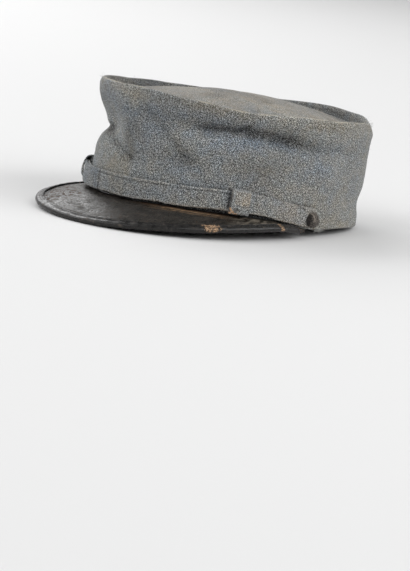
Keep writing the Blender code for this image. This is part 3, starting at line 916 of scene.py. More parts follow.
def binding_outline():
    """Round the binding, from its inner edge on top: out from the peak's edge, up from its middle."""
    slot = PEAK_THICKNESS / 2 + GAP
    shell = slot + BINDING_THICKNESS
    bulge = (GAP + BINDING_THICKNESS + shell / 2) * BINDING_ROUNDNESS
    outline = []
    for share in np.linspace(0.0, 1.0, 5):
        cut = 0.0003 * math.sin(math.pi * share)
        outline.append((-BINDING_WIDTH - cut, slot + BINDING_THICKNESS * share))
    for share in np.linspace(0.06, 0.94, 16):
        relief = BEAD_HEIGHT * hill(share, 0.14, 0.08) - BEAD_GROOVE * hill(share, 0.50, 0.20)
        outline.append((-BINDING_WIDTH * (1.0 - share), shell + relief))
    for share in np.linspace(0.0, 1.0, 17):
        bend = math.pi * share
        outline.append((bulge * math.sin(bend), shell * math.cos(bend)))
    outline += [(-BINDING_WIDTH * share, -shell) for share in (0.35, 0.7, 1.0)]
    return outline + [(-BINDING_WIDTH, -slot), (GAP, -slot), (GAP, slot)]


def make_binding(material):
    end = peak_end(BINDING_WIDTH + 2 * GAP)
    angle = np.linspace(-end, end, PEAK_COLUMNS * 2 + 1)
    edge, out, normal = peak_frame(angle)
    middle = edge - normal * PEAK_THICKNESS / 2
    slot = PEAK_THICKNESS / 2 + GAP
    shell = slot + BINDING_THICKNESS
    rub = np.zeros_like(angle)
    for _, at, half, strength in RUBS:
        rub = np.maximum(rub, strength * hill(np.degrees(angle), at, half, 4))
    rows = []
    for o, n in binding_outline():
        point = middle + out * o + normal * n
        outside = o < -BINDING_WIDTH + 0.0006 or abs(n) > slot + 0.0002 or o > GAP * 2
        rough = swell("binding", point) + rub * swell("binding_rub", point)
        rows.append(point + normal * (rough * outside)[:, None])
    points = np.stack(rows)
    uv = cloth_uv(lengths_down(points), angle * BINDING_RUN)
    level = np.array([n for _, n in binding_outline()])[:, None]
    facts = {"rub": rub[None] * smooth((level + shell) / shell)}
    piece = grid_piece("peak_binding_form", points, with_row(uv, uv[0]), True, False, facts)
    settle(piece, "binding_leather", material, "peak_binding")


def strap_outline():
    """Across a strap, flattened: out as a share of its thickness, height from its middle, groove."""
    edge = STRAP_WIDTH / 2 - STRAP_EDGE
    points = []
    for height in np.linspace(-edge, edge, STRAP_FACE_ROWS):
        points.append((1.0, height, hill(height, STRAP_WIDTH / 2 - STITCH_ROW, 0.0005)))
    for bend in np.linspace(0.0, math.pi, 9)[1:-1]:
        points.append((0.5 + 0.5 * math.cos(bend), edge + STRAP_EDGE * math.sin(bend), 0.0))
    for height in np.linspace(edge, -edge, 8):
        points.append((0.0, height, 0.0))
    for bend in np.linspace(math.pi, math.tau, 9)[1:-1]:
        points.append((0.5 + 0.5 * math.cos(bend), -edge + STRAP_EDGE * math.sin(bend), 0.0))
    return points


def strap_run(side):
    """The angles along a strap, from its rounded tip to its end in the other strap's keeper."""
    tip = side * (BUTTON_ANGLE + arc_angle(BUTTON_ANGLE, STRAP_WIDTH / 2))
    end = -side * (KEEPER_ANGLE + half_keeper() * STRAP_END)
    return np.linspace(tip, end, STRAP_COLUMNS + 1)


def strap_back(side, angle):
    """How far the back of a strap stands off the band. The right strap lies over the left one."""
    over_from = -KEEPER_ANGLE - half_keeper() * OVERLAP_START
    over = smooth(1.0 + (angle - over_from) / OVERLAP_EASE) * (side < 0)
    return strap_lift(angle) + (STRAP_THICKNESS + GAP) * over


def button_fold(angle, height):
    """A pulled fold of the left strap that runs down into its button: 1 on its line."""
    before = np.degrees(BUTTON_ANGLE - angle)
    return hill(before, 4.4, 2.6, 4) * hill(height, 0.0020 + 0.00050 * before, 0.00055)


def strap_wear(side, angle, height, stitched):
    """Frayed lower edge, rubbed upper edge, dirty stitches and shadows beside the other pieces."""
    half = STRAP_WIDTH / 2
    degrees = np.degrees(angle)
    frayed = smooth((0.0022 - height - half) / 0.0020)
    tan = 0.35 * frayed + 0.4 * hill(degrees, 40, 30) * frayed
    dark = 0.75 * stitched
    if side < 0:
        rubbed = smooth((height - half + 0.0009) / 0.0006)
        plain = smooth((STEP_ANGLE - angle) / math.radians(2))
        slit = math.degrees(KEEPER_ANGLE - half_keeper()) - 0.45
        tan = tan - 0.5 * plain
        # Painted shadows: a dark line along the step, and one beside the forward edge of the left
        # keeper
        dark = dark + 0.9 * hill(degrees, math.degrees(STEP_ANGLE), 0.45)
        dark = dark + hill(degrees, slit, 0.42) * smooth((height + half) / 0.003)
        dark = dark + 0.24 * hill(degrees, -4, 13) + 0.32 * plain
        light = 0.55 * rubbed * (1.0 - plain) + 0.12 * plain + 0.40 * hill(degrees, 26, 12)
    else:
        torn = hill(degrees, math.degrees(BUTTON_ANGLE) + 2.2, 2.6)
        tan = tan + 0.45 * smooth((degrees - 58) / 16)
        # Painted shade along the pulled fold by the button
        dark = dark + 1.3 * button_fold(angle, height)
        light = torn * smooth((-0.0022 - height) / 0.0012)
    light = light + 0.5 * frayed
    return {
        "tan": np.clip(tan, -1.0, 1.0),
        "dark": np.clip(dark, 0.0, 1.0),
        "light": np.clip(light, 0.0, 1.0),
    }


def make_strap(side, material):
    """One layer of the strap, from its own button to inside the other strap's keeper."""
    name = "strap_left" if side > 0 else "strap_right"
    angle = strap_run(side)
    out = strap_back(side, angle)
    half = STRAP_WIDTH / 2
    left = np.abs(angle[0] - angle) / arc_angle(angle[0], 1.0)
    narrow = np.sqrt(np.clip(1.0 - (1.0 - np.minimum(left / half, 1.0)) ** 2, 0.0064, 1.0))
    wander = swell("strap_run", place(angle, 0.0, 0.0), side)
    nicks = swell("strap_nicks", place(angle, 0.0, 0.0), side)
    stitched = smooth(left / 0.012)
    step = 0.0
    if side < 0:
        stitched = stitched * smooth((angle - STEP_ANGLE) / math.radians(1.0))
        step = STEP_HEIGHT * smooth((STEP_ANGLE - angle) / math.radians(1.0))
        step = step - STEP_GROOVE * hill(angle, STEP_ANGLE, math.radians(0.5))
    else:
        stitched = stitched * smooth((math.radians(45) - angle) / 0.05)
    stitched = stitched * (0.70 + 0.30 * np.cos(math.tau * angle * BAND_RADIUS / STITCH_LENGTH))
    rows = []
    heights = []
    seam = []
    for share, height, groove in strap_outline():
        level = strap_middle(angle) + height * narrow
        sunk = SEAM_GROOVE * groove * stitched
        pulled = PULL_DEPTH * button_fold(angle, height) * (side > 0)
        uneven = swell("strap", place(angle, 0.0, level), side)
        front = (uneven - sunk + step - pulled) * (share > 0.4)
        edge = (wander + nicks * (height < 0.0)) * (abs(height) / half) ** 3
        rows.append(place(angle, out + STRAP_THICKNESS * share + front, level + edge))
        heights.append(height * narrow)
        seam.append(groove * stitched)
    points = np.stack(rows)
    down = lengths_down(points)
    uv = cloth_uv(down, angle * BAND_RADIUS)
    uv = with_row(uv, uv[0] + [0.0, down[-1] + 0.001])
    facts = strap_wear(side, angle[None], np.stack(heights), np.stack(seam))
    piece = grid_piece(name + "_cloth", points, uv, True, False, facts)
    settle(piece, "wool", material, name)


def left_keeper_ring(angle, share, wall):
    """Round the strap: a close loop, whose front edge gapes a little on its forward side."""
    lift = strap_lift(angle)
    gape = 0.0009 * smooth(-(share + 0.55) / 0.45) - 0.0002 * smooth((share - 0.6) / 0.4)
    back = lift - GAP - wall
    front = lift + 2 * STRAP_THICKNESS + 2 * GAP + wall + gape
    low = strap_bottom(angle) - GAP
    high = strap_bottom(angle) + STRAP_WIDTH + GAP
    slack = LEFT_KEEPER_SLACK + wall
    ring = []
    for part in np.linspace(0.0, 1.0, 6)[:-1]:
        ring.append((back + (front - back) * part, low - wall))
    for part in np.linspace(0.0, 1.0, 26)[:-1]:
        bow = 0.00035 * math.sin(math.pi * part)
        ring.append((front + bow, low - wall + (high - low + wall) * part))
    for bend in np.linspace(0.0, math.pi / 2, 13):
        ring.append((back + (front - back) * math.cos(bend), high + slack * math.sin(bend)))
    for part in np.linspace(0.0, 1.0, 9)[1:-1]:
        ring.append((back, high + slack * (1 - part) + (low - wall - high) * part))
    return ring


def right_keeper_ring(angle, share, wall):
    """Round the strap: a slack loop, open above at its forward edge and bulging at its rear one."""
    open_edge = smooth((share + 1.0) / 2.0)
    back = strap_lift(angle) - GAP - wall
    room = 2 * STRAP_THICKNESS + 3 * GAP + 0.0004 + 0.0022 * (1.0 - open_edge)
    low = strap_bottom(angle) - GAP - wall
    high = strap_bottom(angle) + STRAP_WIDTH + GAP + wall + RIGHT_KEEPER_SLACK * open_edge
    half = (high - low) / 2
    deep = room + 2 * wall
    power = 2 / LOOP_SQUARENESS
    ring = []
    for bend in np.linspace(-math.pi / 2, math.pi / 2, 53):
        rise = half * math.copysign(abs(math.sin(bend)) ** power, bend)
        ring.append((back + deep * abs(math.cos(bend)) ** power, low + half + rise))
    for part in np.linspace(0.0, 1.0, 11)[1:-1]:
        ring.append((back, high + (low - high) * part))
    return ring


def keeper_wear(side, across, rise, spots):
    """The left loop is rubbed to tan in a patch and torn in spots at its lower corner."""
    if side < 0:
        return {"tan": -0.3, "dark": 0.0, "light": 0.25}
    edges = smooth((across + 0.62) / 0.16) * smooth((1.02 - across) / 0.16)
    patch = edges * smooth((rise - 0.52) / 0.12) * smooth((1.30 - rise) / 0.12)
    torn = smooth((0.46 - rise) / 0.12) * smooth((0.05 - across) / 0.3)
    bright = torn * smooth(spots * 1.7)
    # Painted shadow in the slit along the loop's forward edge
    slit = smooth(-(across + 0.78 + 0.12 * spots) / 0.10)
    return {
        "tan": np.clip(0.80 * patch + 2.2 * bright + 0.2 * torn + 0.15, 0.0, 2.0),
        "dark": np.clip(slit + 0.8 * torn * smooth(-spots * 1.8), 0.0, 1.0),
        "light": np.clip(0.60 * patch + 1.1 * bright, 0.0, 1.0) * (1.0 - slit),
    }


def make_keeper(side, material):
    """A cloth loop. Rows go round its thickness from edge to edge, columns round the strap."""
    name = "keeper_left" if side > 0 else "keeper_right"
    draw = left_keeper_ring if side > 0 else right_keeper_ring
    share = np.linspace(-1.0, 1.0, KEEPER_COLUMNS + 1)
    angle = side * KEEPER_ANGLE + half_keeper() * share
    outer = np.stack([place(angle, o, z) for o, z in draw(angle, share, KEEPER_THICKNESS)])
    inner = np.stack([place(angle, o, z) for o, z in draw(angle, share, 0.0)])
    uneven = swell("keeper", outer)[..., None] * band_normal(angle)
    sections = np.concatenate([outer + uneven, (inner + uneven)[:, ::-1]], axis=1)
    sections = sections.transpose(1, 0, 2)
    steps = np.linalg.norm(np.diff(sections[0], axis=0), axis=-1)
    around = np.concatenate([[0.0], np.cumsum(steps)])
    around = np.append(around, around[-1] + 0.001)
    uv = cloth_uv(lengths_down(sections), around)[..., ::-1]
    across = np.concatenate([share, share[::-1]])[:, None]
    spots = ripple(sections, 0.0013, 32)
    facts = keeper_wear(side, across, sections[..., 2] / STRAP_WIDTH, spots)
    piece = grid_piece(name + "_cloth", sections, with_row(uv, uv[0]), True, True, facts)
    settle(piece, "wool", material, name)


def button_profile():
    """From the middle of the back round the rolled edge to the top of the dome: out, up."""
    radius = BUTTON_DIAMETER / 2
    roll = BUTTON_EDGE * 0.5
    pinhole = 0.0002
    profile = [(pinhole, 0.0), (radius * 0.5, 0.0), (radius * 0.95, 0.0)]
    for bend in np.linspace(-math.pi / 2, math.pi * 0.62, 11):
        profile.append((radius * 0.95 + 0.00026 * math.cos(bend), roll + roll * math.sin(bend)))
    for bend in np.linspace(0.05, 1.0, 28)[:-1] * math.pi / 2:
        profile.append((radius * 0.90 * math.cos(bend), BUTTON_EDGE + BUTTON_DOME * math.sin(bend)))
    return np.array(profile + [(pinhole, BUTTON_EDGE + BUTTON_DOME)])


def make_button(side, material):
    """A domed metal button, dented and worn, with a rolled edge."""
    name = "button_left" if side > 0 else "button_right"
    turns = np.linspace(0.0, math.tau, BUTTON_SIDES, endpoint=False)
    r, z = button_profile().T[..., None]
    local = np.stack(np.broadcast_arrays(r * np.cos(turns), r * np.sin(turns), z), -1)
    domed = (z > BUTTON_EDGE * 1.02)[..., None]
    dents = swell("button", local, side)[..., None]
    local = local + dents * unit(local + [0.0, 0.0, 0.001]) * domed
    angle = np.array(side * BUTTON_ANGLE)
    seat = strap_lift(angle) + STRAP_THICKNESS + GAP
    turned = Vector(band_normal(angle)).to_track_quat("Z", "Y").to_matrix()
    points = local @ np.array(turned).T + place(angle, seat, strap_middle(angle) - BUTTON_DROP)
    uv = np.concatenate([local[..., :2], local[:, :1, :2]], axis=1)
    # Painted shade darkens the button's forward side, and a painted highlight arcs over its dome
    forward = -side * local[..., 0] / (BUTTON_DIAMETER / 2)
    upward = local[..., 1] / (BUTTON_DIAMETER / 2)
    arc = hill(forward, 0.36 + 0.25 * upward**2, 0.06) * smooth((upward + 0.2) / 0.3)
    facts = {"dark": smooth((forward - 0.45) / 0.35), "light": arc}
    piece = grid_piece(name + "_metal", points, uv, False, True, facts)
    close_middle(piece, BUTTON_SIDES)
    settle(piece, "button", material, name)


def fibre_tube(path, radius):
    """A thin closed tube of three sides along a path: its points and faces."""
    along = unit(np.gradient(path, axis=0))
    side = unit(np.cross(along, [0.31, 0.52, 0.79]))
    other = np.cross(along, side)
    taper = np.linspace(1.0, 0.4, len(path))[:, None] * radius
    thirds = (0.0, math.tau / 3, 2 * math.tau / 3)
    rings = [path + taper * (side * math.cos(t) + other * math.sin(t)) for t in thirds]
    points = np.stack(rings, 1).reshape(-1, 3)
    last = len(points) - 3
    faces = [(2, 1, 0)]
    for i in range(0, last, 3):
        for k in range(3):
            faces.append((i + k, i + (k + 1) % 3, i + 3 + (k + 1) % 3, i + 3 + k))
    faces.append((last, last + 1, last + 2))
    return points, faces


def fuzz_roots(rng):
    """Where the fibres of the rim and the side start, their way, length, radius and shade."""
    count = FIBRE_COUNT
    angle = rng.uniform(-math.pi, math.pi, count)
    on_rim = rng.random(count) < 0.55
    below = rng.uniform(0.0, 0.004, count)
    on_side = rng.uniform(0.3, 0.9, count) * CROWN_HEIGHT
    height = np.where(on_rim, rim_height(angle) - below, on_side)
    inwards = RIM_THICKNESS * rng.uniform(0.0, 0.5, count) * on_rim
    root = place(angle, crown_offset(angle, height) - inwards - FIBRE_ROOT, height)
    away = band_normal(angle) * rng.uniform(0.2, 1.0, (count, 1))
    away[:, 2] += rng.uniform(0.0, 0.9, count) * on_rim
    way = unit(away + rng.normal(0.0, 0.5, (count, 3)))
    length = rng.uniform(0.0008, 0.0018, count)
    return root, way, length, np.full(count, FIBRE_RADIUS), rng.random(count)


def fray_roots(rng, at, height, out, wide, tall, count, length, radius, pale):
    """The same for the threads of a frayed place."""
    angle = np.radians(at + rng.normal(0.0, wide, count))
    root = place(angle, out, height + rng.normal(0.0, tall, count))
    way = unit(band_normal(angle) * 0.6 + rng.normal(0.0, 0.7, (count, 3)))
    length = length * rng.uniform(0.5, 1.2, count)
    shade = np.clip(pale + rng.normal(0.0, 0.12, count), 0.0, 1.0)
    return root, way, length, np.full(count, radius), shade


def make_fuzz(material):
    """Loose wool fibres that stand off the rim and the side of the crown, and frayed threads."""
    rng = np.random.default_rng(77)
    tufts = [fuzz_roots(rng)] + [fray_roots(rng, *row) for _, *row in FRAYS]
    root, way, length, radius, shade = (np.concatenate(parts) for parts in zip(*tufts))
    curl = rng.normal(0.0, 0.5, root.shape)
    share = np.linspace(0.0, 1.0, 5)[:, None]
    points, faces = [], []
    for i in range(len(root)):
        path = root[i] + length[i] * (way[i] * share + curl[i] * share**2)
        tube, sides = fibre_tube(path, radius[i])
        faces += [tuple(i * len(tube) + corner for corner in face) for face in sides]
        points.append(tube)
    mesh = bpy.data.meshes.new("crown_fuzz")
    mesh.from_pydata(np.concatenate(points).tolist(), [], faces)
    shades = np.repeat(shade, len(points[0]))
    mesh.attributes.new("shade", "FLOAT", "POINT").data.foreach_set("value", shades)
    mesh.update()
    settle(add_object("crown_fuzz", mesh), "wool", material)


def srgb(red, green, blue):
    """A colour from its usual 0 to 255 values."""
    return tuple(linear(value / 255) for value in (red, green, blue)) + (1.0,)


def linear(value):
    return value / 12.92 if value <= 0.04045 else ((value + 0.055) / 1.055) ** 2.4


def tones(*stops):
    """Stops of a colour ramp, each from its position and its usual 0 to 255 values."""
    return [(position, srgb(*colour)) for position, *colour in stops]


class Finish:
    """A material with a Principled shader, and short ways to add nodes to it."""

    def __init__(self, name):
        self.material = bpy.data.materials.new(name)
        self.material.use_nodes = True
        self.tree = self.material.node_tree
        self.shader = self.tree.nodes["Principled BSDF"]

    def node(self, kind, inputs=None, **settings):
        made = self.tree.nodes.new("ShaderNode" + kind)
        for key, value in settings.items():
            setattr(made, key, value)
        for key, value in (inputs or {}).items():
            self.set(made.inputs[key], value)
        return made

    def set(self, socket, value):
        if isinstance(value, bpy.types.NodeSocket):
            self.tree.links.new(value, socket)
        else:
            socket.default_value = value

    def uv(self):
        return self.node("UVMap", uv_map="cloth").outputs[0]

    def fact(self, name):
        return self.node("Attribute", attribute_name=name).outputs["Fac"]

    def noise(self, source, scale, detail, roughness):
        inputs = {"Vector": source, "Scale": scale, "Detail": detail, "Roughness": roughness}
        return self.node("TexNoise", inputs, noise_dimensions="2D").outputs["Fac"]

    def flecks(self, source, length, width, degrees, detail=1.0, roughness=0.6):
        """Noise drawn out into flecks of that length, width and direction."""
        turned = (0.0, 0.0, math.radians(degrees))
        inputs = {"Vector": source, "Rotation": turned, "Scale": (length, width, length)}
        stretched = self.node("Mapping", inputs, vector_type="TEXTURE").outputs[0]
        return self.noise(stretched, 1.0, detail, roughness)

    def between(self, value, low, high, to_low=0.0, to_high=1.0):
        inputs = {"Value": value, "From Min": low, "From Max": high}
        inputs.update({"To Min": to_low, "To Max": to_high})
        return self.node("MapRange", inputs).outputs[0]

    def calc(self, operation, a, b):
        made = self.node("Math", operation=operation)
        self.set(made.inputs[0], a)
        self.set(made.inputs[1], b)
        return made.outputs[0]

    def times(self, a, b):
        return a if b == 1.0 else self.calc("MULTIPLY", a, b)

    def larger(self, a, b):
        return self.calc("MAXIMUM", a, b)

    def total(self, *parts):
        """The sum of several values, each times its share."""
        whole = None
        for value, share in parts:
            part = self.times(value, share)
            whole = part if whole is None else self.calc("ADD", whole, part)
        return whole

    def mix(self, share, a, b, blend="MIX"):
        made = self.node("Mix", data_type="RGBA", blend_type=blend)
        self.set(made.inputs[0], share)
        self.set(made.inputs[6], a)
        self.set(made.inputs[7], b)
        return made.outputs[2]

    def tinted(self, colour, tint):
        return self.mix(1.0, colour, tint, "MULTIPLY")

    def marked(self, colour, *marks):
        """The colour under several marks, each a mask, its share and its colour."""
        for mask, share, mark in marks:
            colour = self.mix(self.times(mask, share), colour, srgb(*mark))
        return colour

    def ramp(self, value, stops):
        made = self.node("ValToRGB", {"Fac": value})
        elements = made.color_ramp.elements
        elements[0].position, elements[0].color = stops[0]
        elements[1].position, elements[1].color = stops[-1]
        for position, colour in stops[1:-1]:
            elements.new(position).color = colour
        return made.outputs["Color"]

    def finish(self, colour, roughness, relief=None, **constants):
        """Sets the shader. relief is a height, its distance and its strength."""
        self.set(self.shader.inputs["Base Color"], colour)
        self.set(self.shader.inputs["Roughness"], roughness)
        if relief:
            inputs = dict(zip(("Height", "Distance", "Strength"), relief))
            self.set(self.shader.inputs["Normal"], self.node("Bump", inputs).outputs[0])
        for key, value in constants.items():
            self.set(self.shader.inputs[key.replace("_", " ")], value)
        return self.material


def fuzz_finish():
    """Single pale and dark fibres."""
    f = Finish("fibre")
    return f.finish(f.ramp(f.fact("shade"), tones((0.0, 70, 72, 74), (1.0, 186, 186, 182))), 0.9)


def wool_finish(name, stops, spread, dust, dark, light):
    """Heathered wool: short slanting yarns of pale and dark fibres, clouded, faded and stained."""
    f = Finish(name)
    uv = f.uv()
    grain = f.total(*((f.flecks(uv, *yarn), share) for *yarn, share in YARNS))
    colour = f.ramp(f.between(grain, 0.5 - spread, 0.5 + spread), stops)
    for scale, detail, roughness, low, low_tint, high, high_tint in CLOUDING:
        noise = f.noise(uv, scale, detail, roughness)
        tints = f.ramp(noise, [(low, (*low_tint, 1.0)), (high, (*high_tint, 1.0))])
        colour = f.tinted(colour, tints)
    cloud = f.noise(uv, 45.0, 3.0, 0.6)
    blue = f.times(f.between(f.fact("tan"), 0.0, -1.0), f.between(cloud, 0.35, 0.60, 0.5, 1.1))
    colour = f.mix(blue, colour, f.tinted(colour, (0.86, 0.97, 1.13, 1.0)))
    dust_and_reflection = f.between(f.fact("tan"), 0.0, 1.0, 0.0, 0.62)
    dust_and_reflection = f.times(dust_and_reflection, f.between(cloud, 0.30, 0.60, 0.5, 1.15))
    browned = f.tinted(colour, (1.16, 1.04, 0.86, 1.0))
    colour = f.mix(dust_and_reflection, colour, f.mix(0.32, browned, dust))
    # The dark and light facts darken and pale the cloth for grime and wear, and for the painted
    # shade, shadows and highlights that the pieces set
    for fact, tint, low, high in (("light", light, 0.66, 0.36), ("dark", dark, 0.30, 0.58)):
        share = f.times(f.fact(fact), f.between(cloud, low, high, 0.45, 1.15))
        colour = f.mix(share, colour, f.tinted(colour, tint))
    for fact, start, end, share, mark_colour in BARE_AND_SHADOW_MARKS:
        colour = f.mix(f.between(f.fact(fact), start, end, 0.0, share), colour, srgb(*mark_colour))
    pale = f.larger(*(
        f.between(f.flecks(uv, length, width, degrees, 0.0, 0.5), low, high)
        for length, width, degrees, low, high in HAIRS
    ))
    colour = f.marked(colour, (pale, 0.5, (205, 207, 207)))
    return f.finish(
        colour,
        0.95,
        (f.total((grain, 0.7), (pale, 0.3)), 0.0008, 0.6),
        Sheen_Weight=0.16,
        Sheen_Roughness=0.5,
        Sheen_Tint=(0.92, 0.94, 0.96, 1.0),
        Specular_IOR_Level=0.12,
    )


def side_wool():
    stops = tones(
        (0.00, 33, 34, 34),
        (0.28, 71, 72, 72),
        (0.55, 106, 108, 108),
        (0.80, 152, 154, 154),
        (1.00, 214, 216, 216),
    )
    dust, dark, light = srgb(126, 117, 99), (0.25, 0.24, 0.235, 1.0), (1.30, 1.33, 1.36, 1.0)
    return wool_finish("side_wool", stops, 0.112, dust, dark, light)


def strap_wool():
    stops = tones(
        (0.00, 36, 37, 37),
        (0.28, 79, 80, 80),
        (0.55, 117, 118, 118),
        (0.80, 161, 163, 162),
        (1.00, 215, 217, 216),
    )
    dust, dark, light = srgb(152, 128, 107), (0.22, 0.21, 0.21, 1.0), (1.34, 1.32, 1.28, 1.0)
    return wool_finish("strap_wool", stops, 0.106, dust, dark, light)


def top_wool():
    """The top is smoother and paler, faded to grey-beige."""
    stops = tones((0.00, 71, 69, 66), (0.50, 124, 121, 115), (1.00, 182, 177, 168))
    dust, dark, light = srgb(134, 127, 113), (0.40, 0.38, 0.36, 1.0), (1.15, 1.15, 1.15, 1.0)
    return wool_finish("top_cloth", stops, 0.140, dust, dark, light)


def peak_finish():
    """Polished black leather with dull scuffs, pits and long scratches, and a torn brown seam."""
    f = Finish("worn_black_leather")
    uv = f.uv()
    wear = f.noise(uv, 110.0, 4.0, 0.65)
    blotches = f.noise(uv, 34.0, 4.0, 0.65)
    noises = {name: f.flecks(uv, *row[:5]) for name, row in LEATHER_MARKS.items()}
    marks = {name: f.between(noises[name], *row[5:]) for name, row in LEATHER_MARKS.items()}
    scratches = f.larger(marks["scratch"], marks["cross"])
    pits = f.between(f.noise(uv, 420.0, 2.0, 0.6), 0.66, 0.71)
    spots = f.times(f.between(f.noise(uv, 270.0, 3.0, 0.6), 0.55, 0.62), f.fact("pitted"))
    brown = f.times(f.fact("cracked"), f.between(wear, 0.36, 0.50))
    torn = f.times(f.fact("torn"), marks["frayed"])
    # Grey mottle over the peak's left part, towards its end: dust and a painted reflection
    grey = f.times(marks["mottle"], f.fact("dust_and_reflection"))
    scuffed = f.times(marks["scuff"], f.calc("ADD", 0.08, f.times(f.fact("dust_and_reflection"), 0.49)))
    colour = f.ramp(wear, tones((0.30, 10, 10, 9), (0.55, 19, 18, 17), (0.78, 44, 40, 37)))
    colour = f.marked(
        colour,
        (scuffed, 1.0, (106, 98, 88)),
        (pits, 0.6, (74, 56, 44)),
        (spots, 0.8, (84, 56, 40)),
        (scratches, 0.45, (122, 113, 103)),
        (brown, 1.0, (84, 64, 48)),
        (torn, 1.0, (186, 152, 118)),
        (marks["hatch"], 0.30, (92, 86, 78)),
        (grey, 0.85, (128, 120, 108)),
    )
    pits = f.larger(pits, spots)
    ragged = f.calc("ADD", torn, brown)
    dull = f.larger(f.times(marks["scuff"], 0.22), f.times(pits, 0.35))
    specked = f.between(marks["speck"], 0.0, 1.0, -0.12, 0.16)
    dull = f.total((dull, 1.0), (specked, 1.0), (grey, 0.15), (scratches, 0.16), (ragged, 0.35))
    roughness = f.calc("ADD", f.between(blotches, 0.32, 0.68, 0.23, 0.40), dull)
    pore_node = f.node("TexVoronoi", {"Vector": uv, "Scale": 1500.0}, voronoi_dimensions="2D")
    height = f.total(
        (pore_node.outputs["Distance"], 0.12),
        (wear, 0.6),
        (noises["speck"], 0.6),
        (noises["hatch"], 0.3),
        (scratches, -0.25),
        (pits, -0.6),
        (ragged, noises["frayed"]),
    )
    shine = f.between(f.larger(spots, torn), 0.0, 1.0, 0.25, 0.02)
    return f.finish(colour, roughness, (height, 0.00020, 0.65), Specular_IOR_Level=shine)


def binding_finish():
    """Black leather strip, shiny along its beads, with rough spots rubbed through to tan."""
    f = Finish("rubbed_binding_leather")
    uv = f.uv()
    wear = f.noise(uv, 240.0, 3.0, 0.65)
    shape = f.noise(uv, 430.0, 4.0, 0.75)
    fray = f.noise(uv, 1300.0, 3.0, 0.7)
    rub = f.between(f.calc("ADD", f.times(f.fact("rub"), 0.50), shape), 0.90, 1.00)
    colour = f.ramp(wear, tones((0.30, 18, 17, 17), (0.60, 32, 30, 29), (0.80, 84, 76, 68)))
    tan = f.ramp(fray, tones((0.36, 82, 60, 42), (0.50, 160, 126, 94), (0.64, 214, 188, 158)))
    colour = f.mix(rub, colour, tan)
    roughness = f.calc("ADD", f.between(wear, 0.32, 0.66, 0.16, 0.52), f.times(rub, 0.5))
    height = f.total((wear, 0.4), (f.times(fray, rub), 1.5))
    return f.finish(colour, roughness, (height, 0.00028, 0.6), Specular_IOR_Level=0.40)


def button_finish():
    """Dull metal with dark pits and paler rubbed spots, and painted shade and a painted highlight."""
    f = Finish("dull_button_metal")
    wear = f.noise(f.uv(), 1100.0, 3.0, 0.7)
    colour = f.ramp(wear, tones((0.34, 48, 44, 41), (0.52, 88, 82, 76), (0.68, 132, 124, 115)))
    dark, light = f.fact("dark"), f.fact("light")
    colour = f.marked(colour, (dark, 0.85, (30, 27, 25)), (light, 0.7, (168, 158, 146)))
    roughness = f.between(wear, 0.30, 0.70, 0.80, 0.50)
    return f.finish(colour, roughness, (wear, 0.0006, 1.0), Metallic=0.15, Specular_IOR_Level=0.4)


def towards(azimuth, elevation):
    """The direction at that azimuth from the front, towards the wearer's left, and elevation."""
    level = math.cos(elevation)
    return Vector((math.sin(azimuth) * level, -math.cos(azimuth) * level, math.sin(elevation)))


def make_camera():
    """The photograph's view: from the wearer's left front, a little above the hem, leaning."""
    back = towards(VIEW_AZIMUTH, VIEW_ELEVATION)
    level = (-back).cross(Vector((0.0, 0.0, 1.0))).normalized()
    upright = level.cross(-back)
    right = level * math.cos(VIEW_ROLL) + upright * math.sin(VIEW_ROLL)
    up = upright * math.cos(VIEW_ROLL) - level * math.sin(VIEW_ROLL)
    axes = Matrix((right, up, back)).transposed().to_4x4()
    turned = Matrix.Rotation(VIEW_PAN, 4, "Y") @ Matrix.Rotation(-VIEW_TILT, 4, "X")
    seat = Matrix.Translation(Vector(VIEW_TARGET) + back * VIEW_DISTANCE)
    data = bpy.data.cameras.new("photograph_view")
    data.sensor_fit = "VERTICAL"
    data.sensor_height = SENSOR_MM
    data.lens = FOCAL_PIXELS * SENSOR_MM / IMAGE_HEIGHT
    camera = add_object("photograph_view", data)
    camera.matrix_world = stand() @ seat @ axes @ turned
    bpy.context.scene.camera = camera


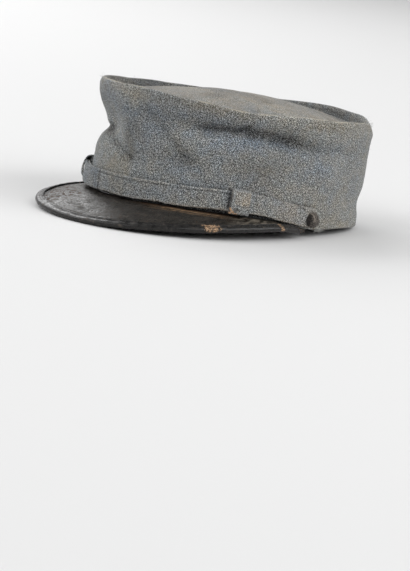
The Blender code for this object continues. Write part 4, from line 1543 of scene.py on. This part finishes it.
def make_floor():
    """A pale floor that sweeps up behind the cap into a backdrop."""
    path = [(FLOOR_START, 0.0), (FLOOR_REACH, 0.0)]
    for i in range(1, FLOOR_STEPS + 1):
        bend = math.pi / 2 * i / FLOOR_STEPS
        rise = FLOOR_BEND * (1.0 - math.cos(bend))
        path.append((FLOOR_REACH + FLOOR_BEND * math.sin(bend), rise))
    path.append((FLOOR_REACH + FLOOR_BEND, FLOOR_TOP))
    away = Vector((-math.sin(VIEW_AZIMUTH), math.cos(VIEW_AZIMUTH), 0.0))
    aside = Vector((math.cos(VIEW_AZIMUTH), math.sin(VIEW_AZIMUTH), 0.0))
    verts = []
    for distance, height in path:
        for side in (-FLOOR_HALF_WIDTH, FLOOR_HALF_WIDTH):
            verts.append(away * distance + aside * side + Vector((0.0, 0.0, height)))
    faces = [(2 * i, 2 * i + 1, 2 * i + 3, 2 * i + 2) for i in range(len(path) - 1)]
    mesh = bpy.data.meshes.new("studio_sweep")
    mesh.from_pydata(verts, [], faces)
    mesh.shade_smooth()
    f = Finish("pale_paper")
    mesh.materials.append(f.finish((0.80, 0.80, 0.80, 1.0), 0.9, Specular_IOR_Level=0.1))
    add_object("studio_sweep", mesh)


def make_lights():
    """Soft square lights all round, the strongest behind on the wearer's right, in a pale air."""
    world = bpy.data.worlds.new("studio_air")
    world.use_nodes = True
    background = world.node_tree.nodes["Background"].inputs
    background["Color"].default_value = (1.0, 1.0, 1.0, 1.0)
    background["Strength"].default_value = AIR_STRENGTH
    bpy.context.scene.world = world
    for name, azimuth, elevation, power in LIGHTS:
        data = bpy.data.lights.new(name, "AREA")
        data.size = LIGHT_SIZE
        data.energy = power
        light = add_object(name, data)
        way = towards(math.radians(azimuth), math.radians(elevation))
        light.location = way * LIGHT_DISTANCE
        light.rotation_euler = way.to_track_quat("Z", "Y").to_euler()
    bpy.context.scene.view_settings.view_transform = "Standard"


def main():
    make_camera()
    make_floor()
    make_lights()
    side, strap, top = side_wool(), strap_wool(), top_wool()
    leather, binding, metal = peak_finish(), binding_finish(), button_finish()
    make_crown_side(side)
    make_crown_top(top)
    make_fuzz(fuzz_finish())
    make_peak(leather)
    make_binding(binding)
    for hand in (1, -1):
        make_strap(hand, strap)
        make_keeper(hand, strap)
        make_button(hand, metal)


main()
